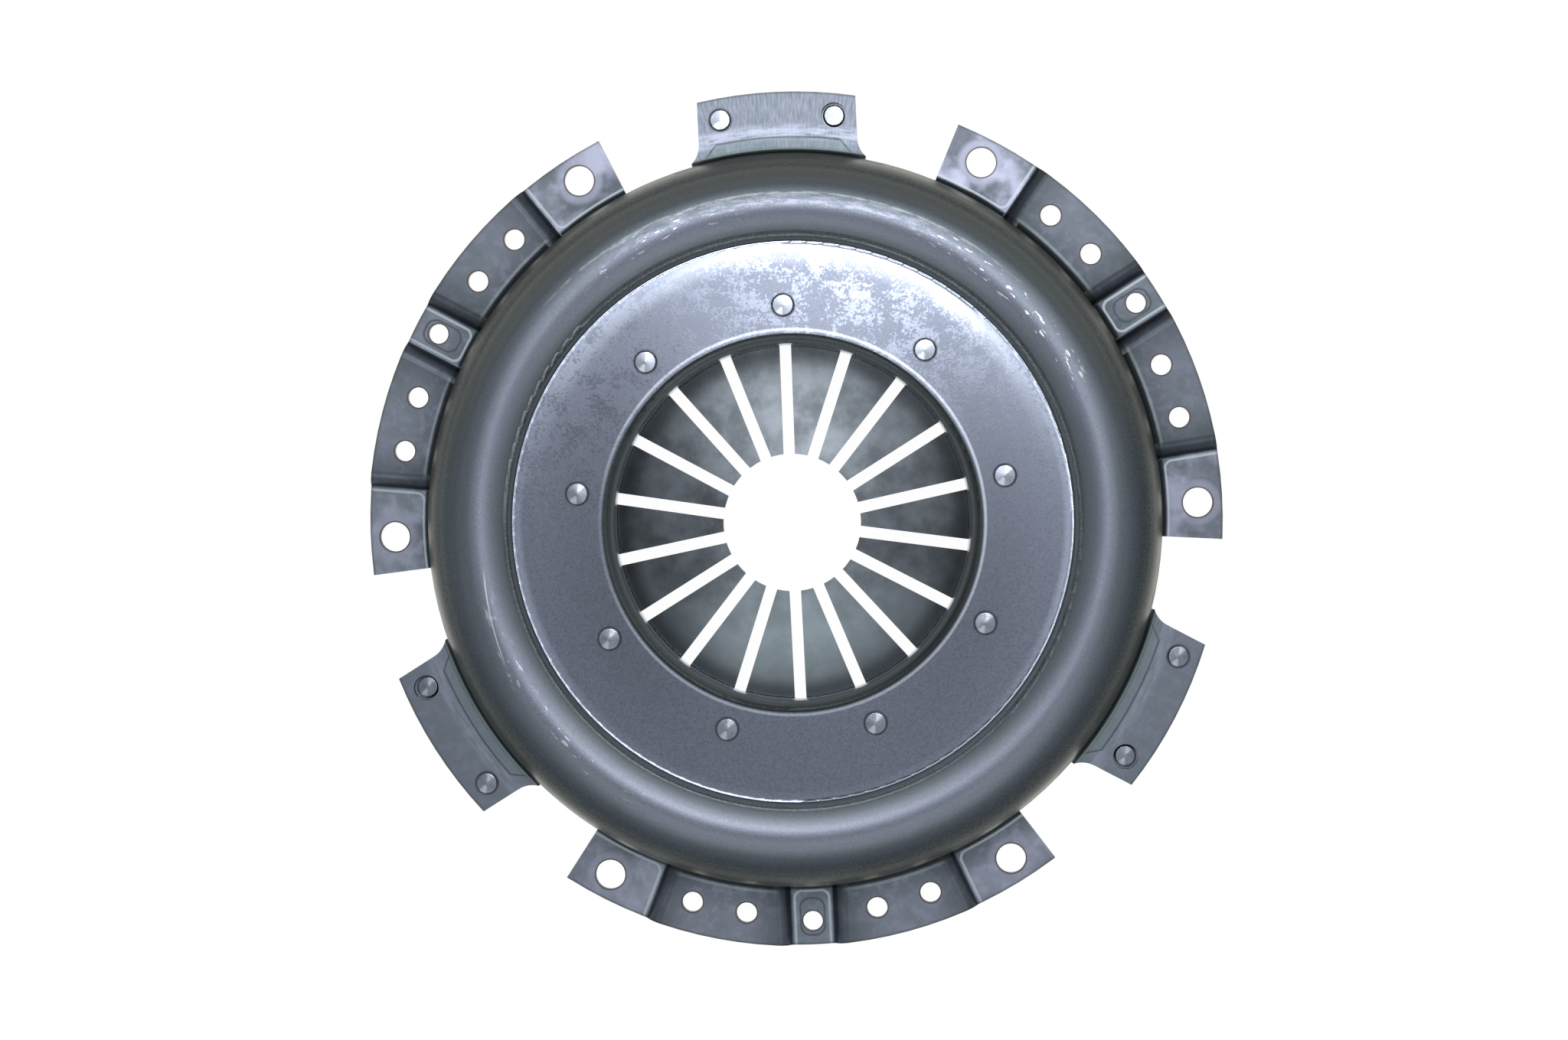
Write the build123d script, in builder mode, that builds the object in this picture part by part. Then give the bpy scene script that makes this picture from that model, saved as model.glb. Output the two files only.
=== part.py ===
"""Push-type diaphragm clutch cover assembly, in millimetres.

The origin is the centre of the bolt pads' undersides. +Z points to the release bearing and +Y
through the middle of one strap tab. The pressure plate stands where it does before the cover is
bolted down.
"""
import os
from math import asin, atan, cos, degrees, radians, sin, sqrt, tan

from build123d import *

# --- Cover: sheet, bowl and flange -----------------------------------------------------------
sheet = 3.0                 # thickness of the cover's steel
flange_radius = 130.0       # outer edge of pads, arcs and tabs
flange_width = 18.6         # from that edge in to the bowl's wall
bead_width = 27.0           # from the wall in to the plateau
plateau_width = 31.4        # from the plateau's edge in to the opening
cover_height = 28.0         # pad underside to plateau top
plateau_edge_radius = 1.2   # rounding of the plateau's edge
lip_radius = 3.6            # outside bend of the lip
bead_flank = 43.4           # slope in degrees where the bead falls to the valley
bead_drop = 0.8             # bead crest below the plateau
valley_radius = 2.0         # rounding of the valley between bead and plateau
valley_share = 0.4          # most of the step that the valley's rounding may take
edge_share = 0.9            # and most of what is left for the plateau's edge
bend_radius = 2.0           # concave bend from wall to flange
gap_edge_height = 3.0       # lower edge of the bare wall between pads and tabs

# --- Cover: flange zones ----------------------------------------------------------------------
pad_end_angle = 35.05       # end of a bolt pad, from the middle of its group
pad_ramp_angle = 23.2       # foot of the ramp between bolt pad and raised arc
arc_rise = 3.7              # raised arc above the pads
ramp_width = 5.3
ramp_foot_radius = 1.0
pad_recess_depth = 0.25     # struck face of a bolt pad, inside a narrow border
pad_recess_border = 1.1
pad_recess_corner = 3.0     # rounding of its corner beside the ramp
dowel_pad_width = 11.8
dowel_dish_width = 7.4      # shallow dish struck round each dowel hole
dowel_dish_length = 11.3
dowel_dish_shift = 1.35     # of the dish's middle inwards from the hole
dowel_dish_corner = 3.0
dowel_dish_depth = 0.35

# --- Cover: holes -----------------------------------------------------------------------------
group_count = 3             # bolt groups, with a strap tab between each two
bolt_inset = 7.5            # from the flange's edge to the bolts' circle
bolt_hole_radius = 4.5      # M8 bolts
dowel_inset = 7.2
dowel_hole_radius = 3.0
balance_inset = 9.3
balance_hole_radius = 3.1
balance_angles = (9.5, 17.5)

# --- Cover: strap tabs ------------------------------------------------------------------------
tab_rise = 6.0
tab_width = 48.0
tab_root_radius = 8.0
tab_window_margin = 2.2     # opening in the wall beyond each side of a tab
coin_depth = 0.4            # coined band along the tab's root, with slanted ends
coin_width = 2.9            # from the end of the wall's bend
coin_reach = 0.7            # into the bend
coin_angle = 9.3            # half of the band's length at its outer edge
coin_root_angle = 11.3      # and at its root

# --- Diaphragm spring and its pivot -----------------------------------------------------------
spring_thickness = 2.3
spring_reach = 21.5         # from the pivot out to the rim
spring_tip_radius = 20.6
cone_angle = 11.5
finger_count = 18
slot_width = 3.5
window_width = 9.0          # eyelet at the root of each slot
window_length = 10.0
wire_radius = 2.25
wire_ring_gap = 2.0         # between the two ends of each bent wire ring
upper_gap_angle = 110.0     # where the two rings' gaps are
lower_gap_angle = 230.0
wire_clearance = 0.05       # between the wires and the rivets that they bear on
seat_gap = 0.04             # between pieces that roll on each other

# --- Fulcrum rivets ---------------------------------------------------------------------------
rivet_count = 9
rivet_inset = 12.2          # from the cover's opening to the rivets' circle
rivet_head_radius = 3.5
rivet_head_height = 1.1
rivet_shank_radius = 2.5
rivet_body_radius = 3.0
rivet_foot_radius = 6.4
rivet_foot_height = 2.4
rivet_chamfer = 0.4

# --- Straps and their rivets ------------------------------------------------------------------
leaf_count = 3
leaf_thickness = 0.6
leaf_width = 13.0
strap_inset = 6.6           # from the flange's edge to the strap rivets' circle
strap_rivet_angle = 8.02
strap_drop = 3.6            # from the tab end down to the lug end, before bolting down
strap_bend_span = 20.0
strap_head_radius = 3.35
strap_head_height = 1.2
strap_shank_radius = 2.4
strap_tail_radius = 3.8
strap_tail_height = 1.6
lug_head_height = 2.6
hole_gap = 0.1              # round a rivet's shank
tab_hole_gap = 0.45         # round the lug rivet's head in its tab

# --- Pressure plate ---------------------------------------------------------------------------
plate_clearance = 1.4       # between the plate and the bowl's wall
plate_width = 34.5
friction_face_depth = 9.0   # below the pads' undersides
plate_thickness = 12.0
ridge_inset = 4.0           # from the spring's rim to the ridge that it presses on
ridge_width = 5.0
ridge_notch_count = 12
ridge_notch_width = 9.0
ridge_notch_floor = 2.5     # above the plate's back
lug_width = 12.8
lug_thickness = 6.6
plate_chamfer = 1.0

# --- Places that follow from the sizes --------------------------------------------------------
bowl_radius = flange_radius - flange_width
plateau_radius = bowl_radius - bead_width
lip_inner_radius = plateau_radius - plateau_width
bolt_circle_radius = flange_radius - bolt_inset
dowel_circle_radius = flange_radius - dowel_inset
balance_circle_radius = flange_radius - balance_inset
strap_circle_radius = flange_radius - strap_inset
rivet_circle_radius = lip_inner_radius + rivet_inset
pivot_radius = rivet_circle_radius + rivet_body_radius + wire_radius + wire_clearance
spring_radius = pivot_radius + spring_reach
ridge_radius = spring_radius - ridge_inset
plate_radius = bowl_radius - sheet - plate_clearance
plate_bore_radius = plate_radius - plate_width
group_pitch = 360 / group_count
first_group = 90 - group_pitch / 2
tab_window_angle = degrees(asin((tab_width / 2 + tab_window_margin) / bowl_radius))
bead_radius = (bowl_radius - plateau_radius) / (1 + sin(radians(bead_flank)))
bead_centre = bowl_radius - bead_radius
wall_top = cover_height - bead_drop - bead_radius
cover_underside = cover_height - sheet
slope = radians(cone_angle)
pivot_height = cover_underside - wire_radius * (1 + 1 / cos(slope)) - 2 * seat_gap
upper_wire_height = cover_underside - wire_radius - seat_gap
lower_wire_height = pivot_height - (spring_thickness + wire_radius) / cos(slope) - seat_gap
rivet_foot_top = lower_wire_height - wire_radius - seat_gap
strap_radial = strap_circle_radius * cos(radians(strap_rivet_angle))
strap_half_pitch = strap_circle_radius * sin(radians(strap_rivet_angle))
pack_thickness = leaf_count * leaf_thickness
lug_top = tab_rise - strap_drop - pack_thickness
lug_bottom = lug_top - lug_thickness
plate_back = plate_thickness - friction_face_depth
ridge_top = (pivot_height - spring_thickness / cos(slope)
             - (ridge_radius + ridge_width / 2 - pivot_radius) * tan(slope) - seat_gap)


def radial_plane(angle, radius=0.0):
    """A plane through the main axis: local X runs outwards, local Y upwards."""
    outwards = (cos(radians(angle)), sin(radians(angle)), 0)
    sideways = (sin(radians(angle)), -cos(radians(angle)), 0)
    origin = (radius * outwards[0], radius * outwards[1], 0)
    return Plane(origin=origin, x_dir=outwards, z_dir=sideways)


def tangent_plane(angle, radius, side=1):
    """A plane square to a radius: local Y upwards, local X anticlockwise, or back for side -1."""
    outwards = Vector(cos(radians(angle)), sin(radians(angle)), 0)
    along = Vector(-sin(radians(angle)), cos(radians(angle)), 0)
    return Plane(origin=outwards * radius, x_dir=along * side, z_dir=outwards * side)


def s_band(width, rise, foot_radius, thickness):
    """A band that climbs from (0, 0) to (width, rise) through two tangent bends."""
    turn = 2 * atan(rise / width)
    head_radius = width / sin(turn) - foot_radius
    foot = (0, thickness + foot_radius)
    head = (width, rise + thickness - head_radius)
    turn = degrees(turn)
    with BuildLine() as band:
        CenterArc(foot, foot_radius, -90, turn)
        CenterArc(head, head_radius, 90 + turn, -turn)
        Line((width, rise + thickness), (width, rise))
        CenterArc(head, head_radius - thickness, 90, turn)
        CenterArc(foot, foot_radius + thickness, -90 + turn, -turn)
        Line((0, 0), (0, thickness))
    make_face(band.edges())


def bowl_outline():
    """The cover's section from the lip's edge over plateau and bead to the top of the wall."""
    flank = radians(bead_flank)
    step = bead_drop + bead_radius * (1 - cos(flank))
    valley = min(valley_radius, valley_share * step)
    valley_reach = bead_radius * sin(flank) - valley
    valley_rise = sqrt((bead_radius + valley) ** 2 - valley_reach ** 2)
    valley_centre = (plateau_radius + valley, wall_top + valley_rise)
    edge = min(plateau_edge_radius, edge_share * (cover_height - valley_centre[1]))
    edge_centre = (plateau_radius - edge, cover_height - edge)
    flank_turn = degrees(atan(valley_reach / valley_rise))
    lip_centre = (lip_inner_radius + lip_radius, cover_height - lip_radius)
    lip_inside = lip_radius - sheet
    drop = valley_centre[1] - cover_underside
    under_radius = valley + sheet
    under_start = (valley_centre[0] - sqrt(under_radius ** 2 - drop ** 2), cover_underside)
    under_angle = 180 + degrees(atan(drop / sqrt(under_radius ** 2 - drop ** 2)))
    with BuildLine() as section:
        CenterArc(lip_centre, lip_radius, 180, -90)
        Line((lip_centre[0], cover_height), (edge_centre[0], cover_height))
        CenterArc(edge_centre, edge, 90, -90)
        Line((plateau_radius, edge_centre[1]), (plateau_radius, valley_centre[1]))
        CenterArc(valley_centre, valley, 180, 90 + flank_turn)
        CenterArc((bead_centre, wall_top), bead_radius, 90 + flank_turn, -90 - flank_turn)
        Line((bowl_radius, wall_top), (bowl_radius - sheet, wall_top))
        CenterArc((bead_centre, wall_top), bead_radius - sheet, 0, 90 + flank_turn)
        CenterArc(valley_centre, under_radius, 270 + flank_turn, under_angle - 270 - flank_turn)
        Line(under_start, (lip_centre[0], cover_underside))
        CenterArc(lip_centre, lip_inside, 90, 90)
        Line((lip_inner_radius + sheet, lip_centre[1]), (lip_inner_radius, lip_centre[1]))
    make_face(section.edges())


def foot_outline(level):
    """The wall's lower end, bent outwards into a flange whose underside lies at a level."""
    bend_height = level + sheet + bend_radius
    centre = (bowl_radius + bend_radius, bend_height)
    top = max(wall_top, bend_height + seat_gap)
    with BuildLine() as section:
        Line((bowl_radius, top), (bowl_radius, bend_height))
        CenterArc(centre, bend_radius, 180, 90)
        Polyline((centre[0], level + sheet), (flange_radius, level + sheet),
                 (flange_radius, level), (centre[0], level))
        CenterArc(centre, bend_radius + sheet, 270, -90)
        Polyline((bowl_radius - sheet, bend_height), (bowl_radius - sheet, top),
                 (bowl_radius, top))
    make_face(section.edges())


def sweep_zone(start, end, level=None):
    """Turn the flange's foot, or the bare wall, through a zone given in degrees."""
    with BuildSketch(radial_plane(start)) as profile:
        if level is None:
            with Locations((bowl_radius - sheet / 2, (gap_edge_height + wall_top) / 2)):
                Rectangle(sheet, wall_top - gap_edge_height)
        else:
            foot_outline(level)
    revolve(profile.sketch, axis=Axis.Z, revolution_arc=end - start)


def raise_ramp(angle, offset, side):
    """A ramp from pad level up to arc level that climbs along the rim, to one side."""
    start = tangent_plane(angle, bowl_radius - sheet / 2, side)
    start.origin = start.from_local_coords((offset, 0, 0))
    with BuildSketch(start) as profile:
        s_band(ramp_width, arc_rise, ramp_foot_radius, sheet)
    extrude(profile.sketch, amount=side * (flange_radius - bowl_radius + sheet))


def clear_ramp(angle, offset, side, reach):
    """Cut the flange away over a stretch of the rim, where pads and ramps take its place."""
    start = tangent_plane(angle, bowl_radius - sheet, side)
    height = arc_rise + sheet + bend_radius
    with BuildSketch(start) as opening:
        with Locations((offset + reach / 2, height / 2)):
            Rectangle(reach, height)
    extrude(opening.sketch, amount=side * (flange_radius - bowl_radius + 2 * sheet), mode=Mode.SUBTRACT)


def make_arcs():
    """The two raised arcs of a group, with the places of pads and ramps left open."""
    dowel_side = dowel_pad_width / 2 + ramp_width
    with BuildPart() as arcs:
        sweep_zone(-pad_ramp_angle, pad_ramp_angle, arc_rise)
        for side in (-1, 1):
            clear_ramp(side * pad_ramp_angle, 0, -side, ramp_width)
        clear_ramp(0, -dowel_side, 1, 2 * dowel_side)
    return arcs.part


def make_ramps():
    """The four ramps of a group, trimmed to the flange's rim."""
    with BuildPart() as ramps:
        for side in (-1, 1):
            raise_ramp(side * pad_ramp_angle, 0, -side)
            raise_ramp(0, dowel_pad_width / 2, side)
        with BuildSketch() as rim:
            Circle(flange_radius)
        extrude(amount=cover_height, mode=Mode.INTERSECT)
    return ramps.part


def band_outline(inner, outer, inner_turns, outer_turns):
    """A band between two circles about the axis, with straight ends."""
    arcs = []
    for radius, turns in ((inner, inner_turns), (outer, outer_turns)):
        middle = sum(turns) / 2
        ends = [Vector(radius, 0).rotate(Axis.Z, turn) for turn in (turns[0], middle, turns[1])]
        arcs.append(ThreePointArc(*ends))
    Line(arcs[0] @ 0, arcs[1] @ 0)
    Line(arcs[0] @ 1, arcs[1] @ 1)


def make_bolt_pad(side):
    """A bolt pad beside a ramp, its face struck down inside a narrow border."""
    ends = sorted((side * pad_ramp_angle, side * pad_end_angle))
    border = degrees(pad_recess_border / bowl_radius)
    turns = (ends[0] + border, ends[1] - border)
    inner = bowl_radius + bend_radius + pad_recess_border / 2
    with BuildPart() as pad:
        sweep_zone(*ends, 0)
        with BuildSketch(Plane.XY.offset(sheet)) as recess:
            with BuildLine():
                band_outline(inner, flange_radius + sheet, turns, turns)
            make_face()
            inner_corners = recess.vertices().sort_by(lambda corner: corner.X ** 2 + corner.Y ** 2)[:2]
            fillet(inner_corners.sort_by(lambda corner: abs(corner.Y))[0], pad_recess_corner)
        extrude(amount=-pad_recess_depth, mode=Mode.SUBTRACT)
    return pad.part


def make_flange_group():
    """The bowl's wall between two tabs, with bolt pads, raised arcs and a dowel pad, about +X."""
    wall_turn = group_pitch / 2 - tab_window_angle
    with BuildPart() as group:
        sweep_zone(-wall_turn, wall_turn)
        for side in (-1, 1):
            add(make_bolt_pad(side))
        add(make_dowel_pad())
        add(make_arcs())
        add(make_ramps())
    return group.part


def make_dowel_pad():
    """The narrow pad with parallel sides in the middle of a group, dished round its hole."""
    half_turn = degrees(dowel_pad_width / bowl_radius)
    with BuildPart() as pad:
        sweep_zone(-half_turn, half_turn, 0)
        with BuildSketch():
            with Locations((bowl_radius, 0)):
                Rectangle(flange_radius, dowel_pad_width)
        extrude(amount=cover_height, mode=Mode.INTERSECT)
        with BuildSketch(Plane.XY.offset(sheet)):
            with Locations((dowel_circle_radius - dowel_dish_shift, 0)):
                RectangleRounded(dowel_dish_length, dowel_dish_width, dowel_dish_corner)
        extrude(amount=-dowel_dish_depth, mode=Mode.SUBTRACT)
    return pad.part


def make_tab():
    """A strap tab on +X: raised, straight-sided, flared into the wall, with a coined band along its root."""
    inner = bowl_radius + bend_radius - coin_reach
    outer = bowl_radius + bend_radius + coin_width
    with BuildPart() as tab:
        sweep_zone(-tab_window_angle, tab_window_angle, tab_rise)
        with BuildSketch() as outline:
            Circle(bowl_radius)
            with Locations((flange_radius / 2, 0)):
                Rectangle(flange_radius, tab_width)
            roots = outline.vertices().filter_by(lambda corner: 0 < corner.X < flange_radius - sheet)
            fillet(roots.filter_by(lambda corner: abs(corner.Y) > sheet), tab_root_radius)
            Circle(flange_radius, mode=Mode.INTERSECT)
        extrude(amount=cover_height, mode=Mode.INTERSECT)
        with BuildSketch(Plane.XY.offset(tab_rise + sheet)):
            with BuildLine():
                band_outline(inner, outer, (-coin_root_angle, coin_root_angle), (-coin_angle, coin_angle))
            make_face()
        extrude(amount=-coin_depth, mode=Mode.SUBTRACT)
        place = (strap_radial, -strap_half_pitch)
        drill([place], strap_head_radius + tab_hole_gap)
        drill([(strap_radial, strap_half_pitch)], strap_shank_radius + hole_gap)
    return tab.part


def drill(places, radius):
    """Round holes along Z through everything made so far."""
    with BuildSketch(Plane.XY.offset(-cover_height)) as holes:
        with Locations(*places):
            Circle(radius)
    extrude(holes.sketch, amount=3 * cover_height, mode=Mode.SUBTRACT)


def make_cover():
    """The whole drawn cover."""
    group = make_flange_group()
    tab = make_tab()
    with BuildPart() as cover:
        with BuildSketch(Plane.XZ):
            bowl_outline()
        revolve(axis=Axis.Z)
        with PolarLocations(0, group_count, start_angle=first_group):
            add(group)
        with PolarLocations(0, group_count, start_angle=90):
            add(tab)
        drill(PolarLocations(bolt_circle_radius, 2 * group_count), bolt_hole_radius)
        drill(PolarLocations(dowel_circle_radius, group_count, start_angle=first_group),
              dowel_hole_radius)
        for angle in balance_angles:
            for turn in (first_group - angle, first_group + angle):
                drill(PolarLocations(balance_circle_radius, group_count, start_angle=turn),
                      balance_hole_radius)
        drill(PolarLocations(rivet_circle_radius, rivet_count, start_angle=90), rivet_shank_radius)
    cover.part.label = "cover"
    export_step(cover.part, "parts/cover.step")


def make_diaphragm():
    """The coned spring: a plain rim and 18 fingers between slots that end in eyelets."""
    tip_top = pivot_height + (pivot_radius - spring_tip_radius) * tan(slope)
    rim_top = pivot_height - (spring_radius - pivot_radius) * tan(slope)
    drop = spring_thickness / cos(slope)
    with BuildPart() as spring:
        with BuildSketch(Plane.XZ):
            with BuildLine():
                Polyline((spring_tip_radius, tip_top), (spring_radius, rim_top),
                         (spring_radius, rim_top - drop), (spring_tip_radius, tip_top - drop),
                         (spring_tip_radius, tip_top))
            make_face()
        revolve(axis=Axis.Z)
        with BuildSketch() as slots:
            with PolarLocations(rivet_circle_radius / 2, finger_count, start_angle=90):
                Rectangle(rivet_circle_radius, slot_width)
            with PolarLocations(rivet_circle_radius, finger_count, start_angle=90):
                RectangleRounded(window_length, window_width, window_width / 3)
        extrude(amount=2 * cover_height, mode=Mode.SUBTRACT)
    spring.part.label = "diaphragm_spring"
    export_step(spring.part, "parts/diaphragm_spring.step")


def make_wire_ring(name, height, gap_angle):
    """A bent wire ring, open by a small gap."""
    turn = 360 - degrees(wire_ring_gap / pivot_radius)
    with BuildPart() as ring:
        with BuildSketch(radial_plane(gap_angle)):
            with Locations((pivot_radius, height)):
                Circle(wire_radius)
        revolve(axis=Axis.Z, revolution_arc=turn)
    ring.part.label = name
    export_step(ring.part, f"parts/{name}.step")


def make_fulcrum_rivet(number):
    """A stepped rivet: closed on the plateau, shouldered below it, with a broad foot."""
    angle = 90 + (number - 1) * 360 / rivet_count
    head_top = cover_height + rivet_head_height
    foot_bottom = rivet_foot_top - rivet_foot_height
    centre = radial_plane(angle, rivet_circle_radius)
    with BuildPart() as rivet:
        with BuildSketch(centre):
            with BuildLine():
                Polyline((0, head_top), (rivet_head_radius - rivet_chamfer, head_top),
                         (rivet_head_radius, head_top - rivet_chamfer),
                         (rivet_head_radius, cover_height), (rivet_shank_radius, cover_height),
                         (rivet_shank_radius, cover_underside), (rivet_body_radius, cover_underside),
                         (rivet_body_radius, rivet_foot_top), (rivet_foot_radius, rivet_foot_top),
                         (rivet_foot_radius, foot_bottom + rivet_chamfer),
                         (rivet_foot_radius - rivet_chamfer, foot_bottom), (0, foot_bottom),
                         (0, head_top))
            make_face()
        revolve(axis=Axis(centre.origin, (0, 0, 1)))
    rivet.part.label = f"fulcrum_rivet_{number}"
    export_step(rivet.part, f"parts/fulcrum_rivet_{number}.step")


def make_strap_leaf(tab_number, layer, name):
    """One cranked leaf of a strap: flat on the tab, bent down, flat on the lug."""
    bend_sum = strap_bend_span / sin(2 * atan(strap_drop / strap_bend_span))
    depth = (layer + 1) * leaf_thickness
    lug_end = -strap_half_pitch - leaf_width / 2
    flat = -strap_bend_span / 2 - lug_end
    angle = 90 + (tab_number - 1) * group_pitch
    side = tangent_plane(angle, strap_radial - leaf_width / 2)
    plan = radial_flat(angle)
    with BuildPart() as leaf:
        with BuildSketch(side) as profile:
            with Locations((-strap_bend_span / 2, tab_rise - depth - strap_drop)):
                add(leaf_bend(bend_sum / 2 + layer * leaf_thickness))
            with Locations((lug_end + flat / 2, tab_rise - depth - strap_drop + leaf_thickness / 2)):
                Rectangle(flat, leaf_thickness)
            with Locations((-lug_end - flat / 2, tab_rise - depth + leaf_thickness / 2)):
                Rectangle(flat, leaf_thickness)
        extrude(amount=leaf_width)
        with BuildSketch(plan) as outline:
            with Locations((strap_radial, 0)):
                SlotCenterToCenter(2 * strap_half_pitch, leaf_width, rotation=90)
                with Locations((0, -strap_half_pitch), (0, strap_half_pitch)):
                    Circle(strap_shank_radius + hole_gap, mode=Mode.SUBTRACT)
        extrude(amount=cover_height, both=True, mode=Mode.INTERSECT)
    leaf.part.label = name
    export_step(leaf.part, f"parts/{name}.step")


def leaf_bend(foot_radius):
    """The cranked middle of a leaf, as a face of its own."""
    with BuildSketch() as bend:
        s_band(strap_bend_span, strap_drop, foot_radius, leaf_thickness)
    return bend.sketch


def radial_flat(angle):
    """The XY plane turned so that its local X runs outwards at an angle."""
    return Plane(origin=(0, 0, 0), x_dir=(cos(radians(angle)), sin(radians(angle)), 0), z_dir=(0, 0, 1))


def turned_pin(name, angle, side, outline):
    """A rivet turned about the strap hole at one side of a tab, from half of its section."""
    turn = angle + side * strap_rivet_angle
    centre = radial_plane(turn, strap_circle_radius)
    with BuildPart() as pin:
        with BuildSketch(centre):
            with BuildLine():
                Polyline(*outline, outline[0])
            make_face()
        revolve(axis=Axis(centre.origin, (0, 0, 1)))
    pin.part.label = name
    export_step(pin.part, f"parts/{name}.step")


def rivet_outline(top, head_bottom, tail_top, bottom):
    """Half of a rivet's section between four heights, with chamfered head and tail."""
    return [(0, top), (strap_head_radius - rivet_chamfer, top),
            (strap_head_radius, top - rivet_chamfer), (strap_head_radius, head_bottom),
            (strap_shank_radius, head_bottom), (strap_shank_radius, tail_top),
            (strap_tail_radius, tail_top), (strap_tail_radius, bottom + rivet_chamfer),
            (strap_tail_radius - rivet_chamfer, bottom), (0, bottom)]


def make_strap_set(number):
    """The leaves and the two rivets under one tab."""
    angle = 90 + (number - 1) * group_pitch
    for layer, place in enumerate(("upper", "middle", "lower")):
        make_strap_leaf(number, layer, f"strap_{number}_{place}_leaf")
    tab_top = tab_rise + sheet
    pack_bottom = tab_rise - pack_thickness
    turned_pin(f"cover_strap_rivet_{number}", angle, 1,
               rivet_outline(tab_top + strap_head_height, tab_top, pack_bottom,
                             pack_bottom - strap_tail_height))
    pack_top = tab_rise - strap_drop
    turned_pin(f"lug_rivet_{number}", angle, -1,
               rivet_outline(pack_top + lug_head_height, pack_top, lug_bottom,
                             lug_bottom - strap_tail_height))


def make_pressure_plate():
    """The cast ring: friction face below, broken fulcrum ridge above, three strap lugs."""
    half_ridge = ridge_width / 2
    with BuildPart() as plate:
        with BuildSketch(Plane.XZ):
            with BuildLine():
                Polyline((plate_bore_radius + plate_chamfer, -friction_face_depth),
                         (plate_radius - plate_chamfer, -friction_face_depth),
                         (plate_radius, plate_chamfer - friction_face_depth),
                         (plate_radius, plate_back - 2 * plate_chamfer),
                         (plate_radius - 2 * plate_chamfer, plate_back),
                         (plate_bore_radius + plate_chamfer, plate_back),
                         (plate_bore_radius, plate_back - plate_chamfer),
                         (plate_bore_radius, plate_chamfer - friction_face_depth),
                         (plate_bore_radius + plate_chamfer, -friction_face_depth))
            make_face()
            with BuildLine():
                Polyline((ridge_radius - ridge_width, plate_back - plate_chamfer),
                         (ridge_radius - ridge_width, plate_back),
                         (ridge_radius - half_ridge, ridge_top - 2 * plate_chamfer))
                ThreePointArc((ridge_radius - half_ridge, ridge_top - 2 * plate_chamfer),
                              (ridge_radius, ridge_top),
                              (ridge_radius + half_ridge, ridge_top - 2 * plate_chamfer))
                Polyline((ridge_radius + half_ridge, ridge_top - 2 * plate_chamfer),
                         (ridge_radius + ridge_width, plate_back),
                         (ridge_radius + ridge_width, plate_back - plate_chamfer),
                         (ridge_radius - ridge_width, plate_back - plate_chamfer))
            make_face()
        revolve(axis=Axis.Z)
        with BuildSketch(Plane.XY.offset(plate_back + ridge_notch_floor)):
            with PolarLocations(ridge_radius, ridge_notch_count, start_angle=180 / ridge_notch_count):
                Rectangle(3 * ridge_width, ridge_notch_width)
        extrude(amount=cover_height, mode=Mode.SUBTRACT)
        lug_angles = [90 + turn * group_pitch - strap_rivet_angle for turn in range(group_count)]
        with BuildSketch(Plane.XY.offset(lug_bottom)):
            reach = strap_circle_radius - ridge_radius
            for angle in lug_angles:
                with PolarLocations(strap_circle_radius, 1, start_angle=angle):
                    Circle(lug_width / 2)
                with PolarLocations(strap_circle_radius - reach / 2, 1, start_angle=angle):
                    Rectangle(reach, lug_width)
        extrude(amount=lug_thickness)
        drill([PolarLocations(strap_circle_radius, 1, start_angle=angle).locations[0]
               for angle in lug_angles], strap_shank_radius)
    plate.part.label = "pressure_plate"
    export_step(plate.part, "parts/pressure_plate.step")


os.makedirs("parts", exist_ok=True)
make_cover()
make_diaphragm()
make_wire_ring("upper_wire_ring", upper_wire_height, upper_gap_angle)
make_wire_ring("lower_wire_ring", lower_wire_height, lower_gap_angle)
for rivet_number in range(1, rivet_count + 1):
    make_fulcrum_rivet(rivet_number)
for tab_number in range(1, group_count + 1):
    make_strap_set(tab_number)
make_pressure_plate()
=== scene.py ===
# %% [markdown]
# # A clutch pressure plate, dressed for its picture
#
# This part is the cover assembly of a car clutch. A pressed steel cover bolts to the flywheel, a
# coned spring with eighteen fingers hinges between two wire rings under it, and the spring pushes
# an iron plate down on the clutch disc. The shapes come from the CAD model, and this script gives
# them steel and iron, light and a camera. The first step loads the model and keeps its box.

# %% Load the model
import math

import bmesh
import bpy
import numpy as np
from mathutils import Matrix, Vector


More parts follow.
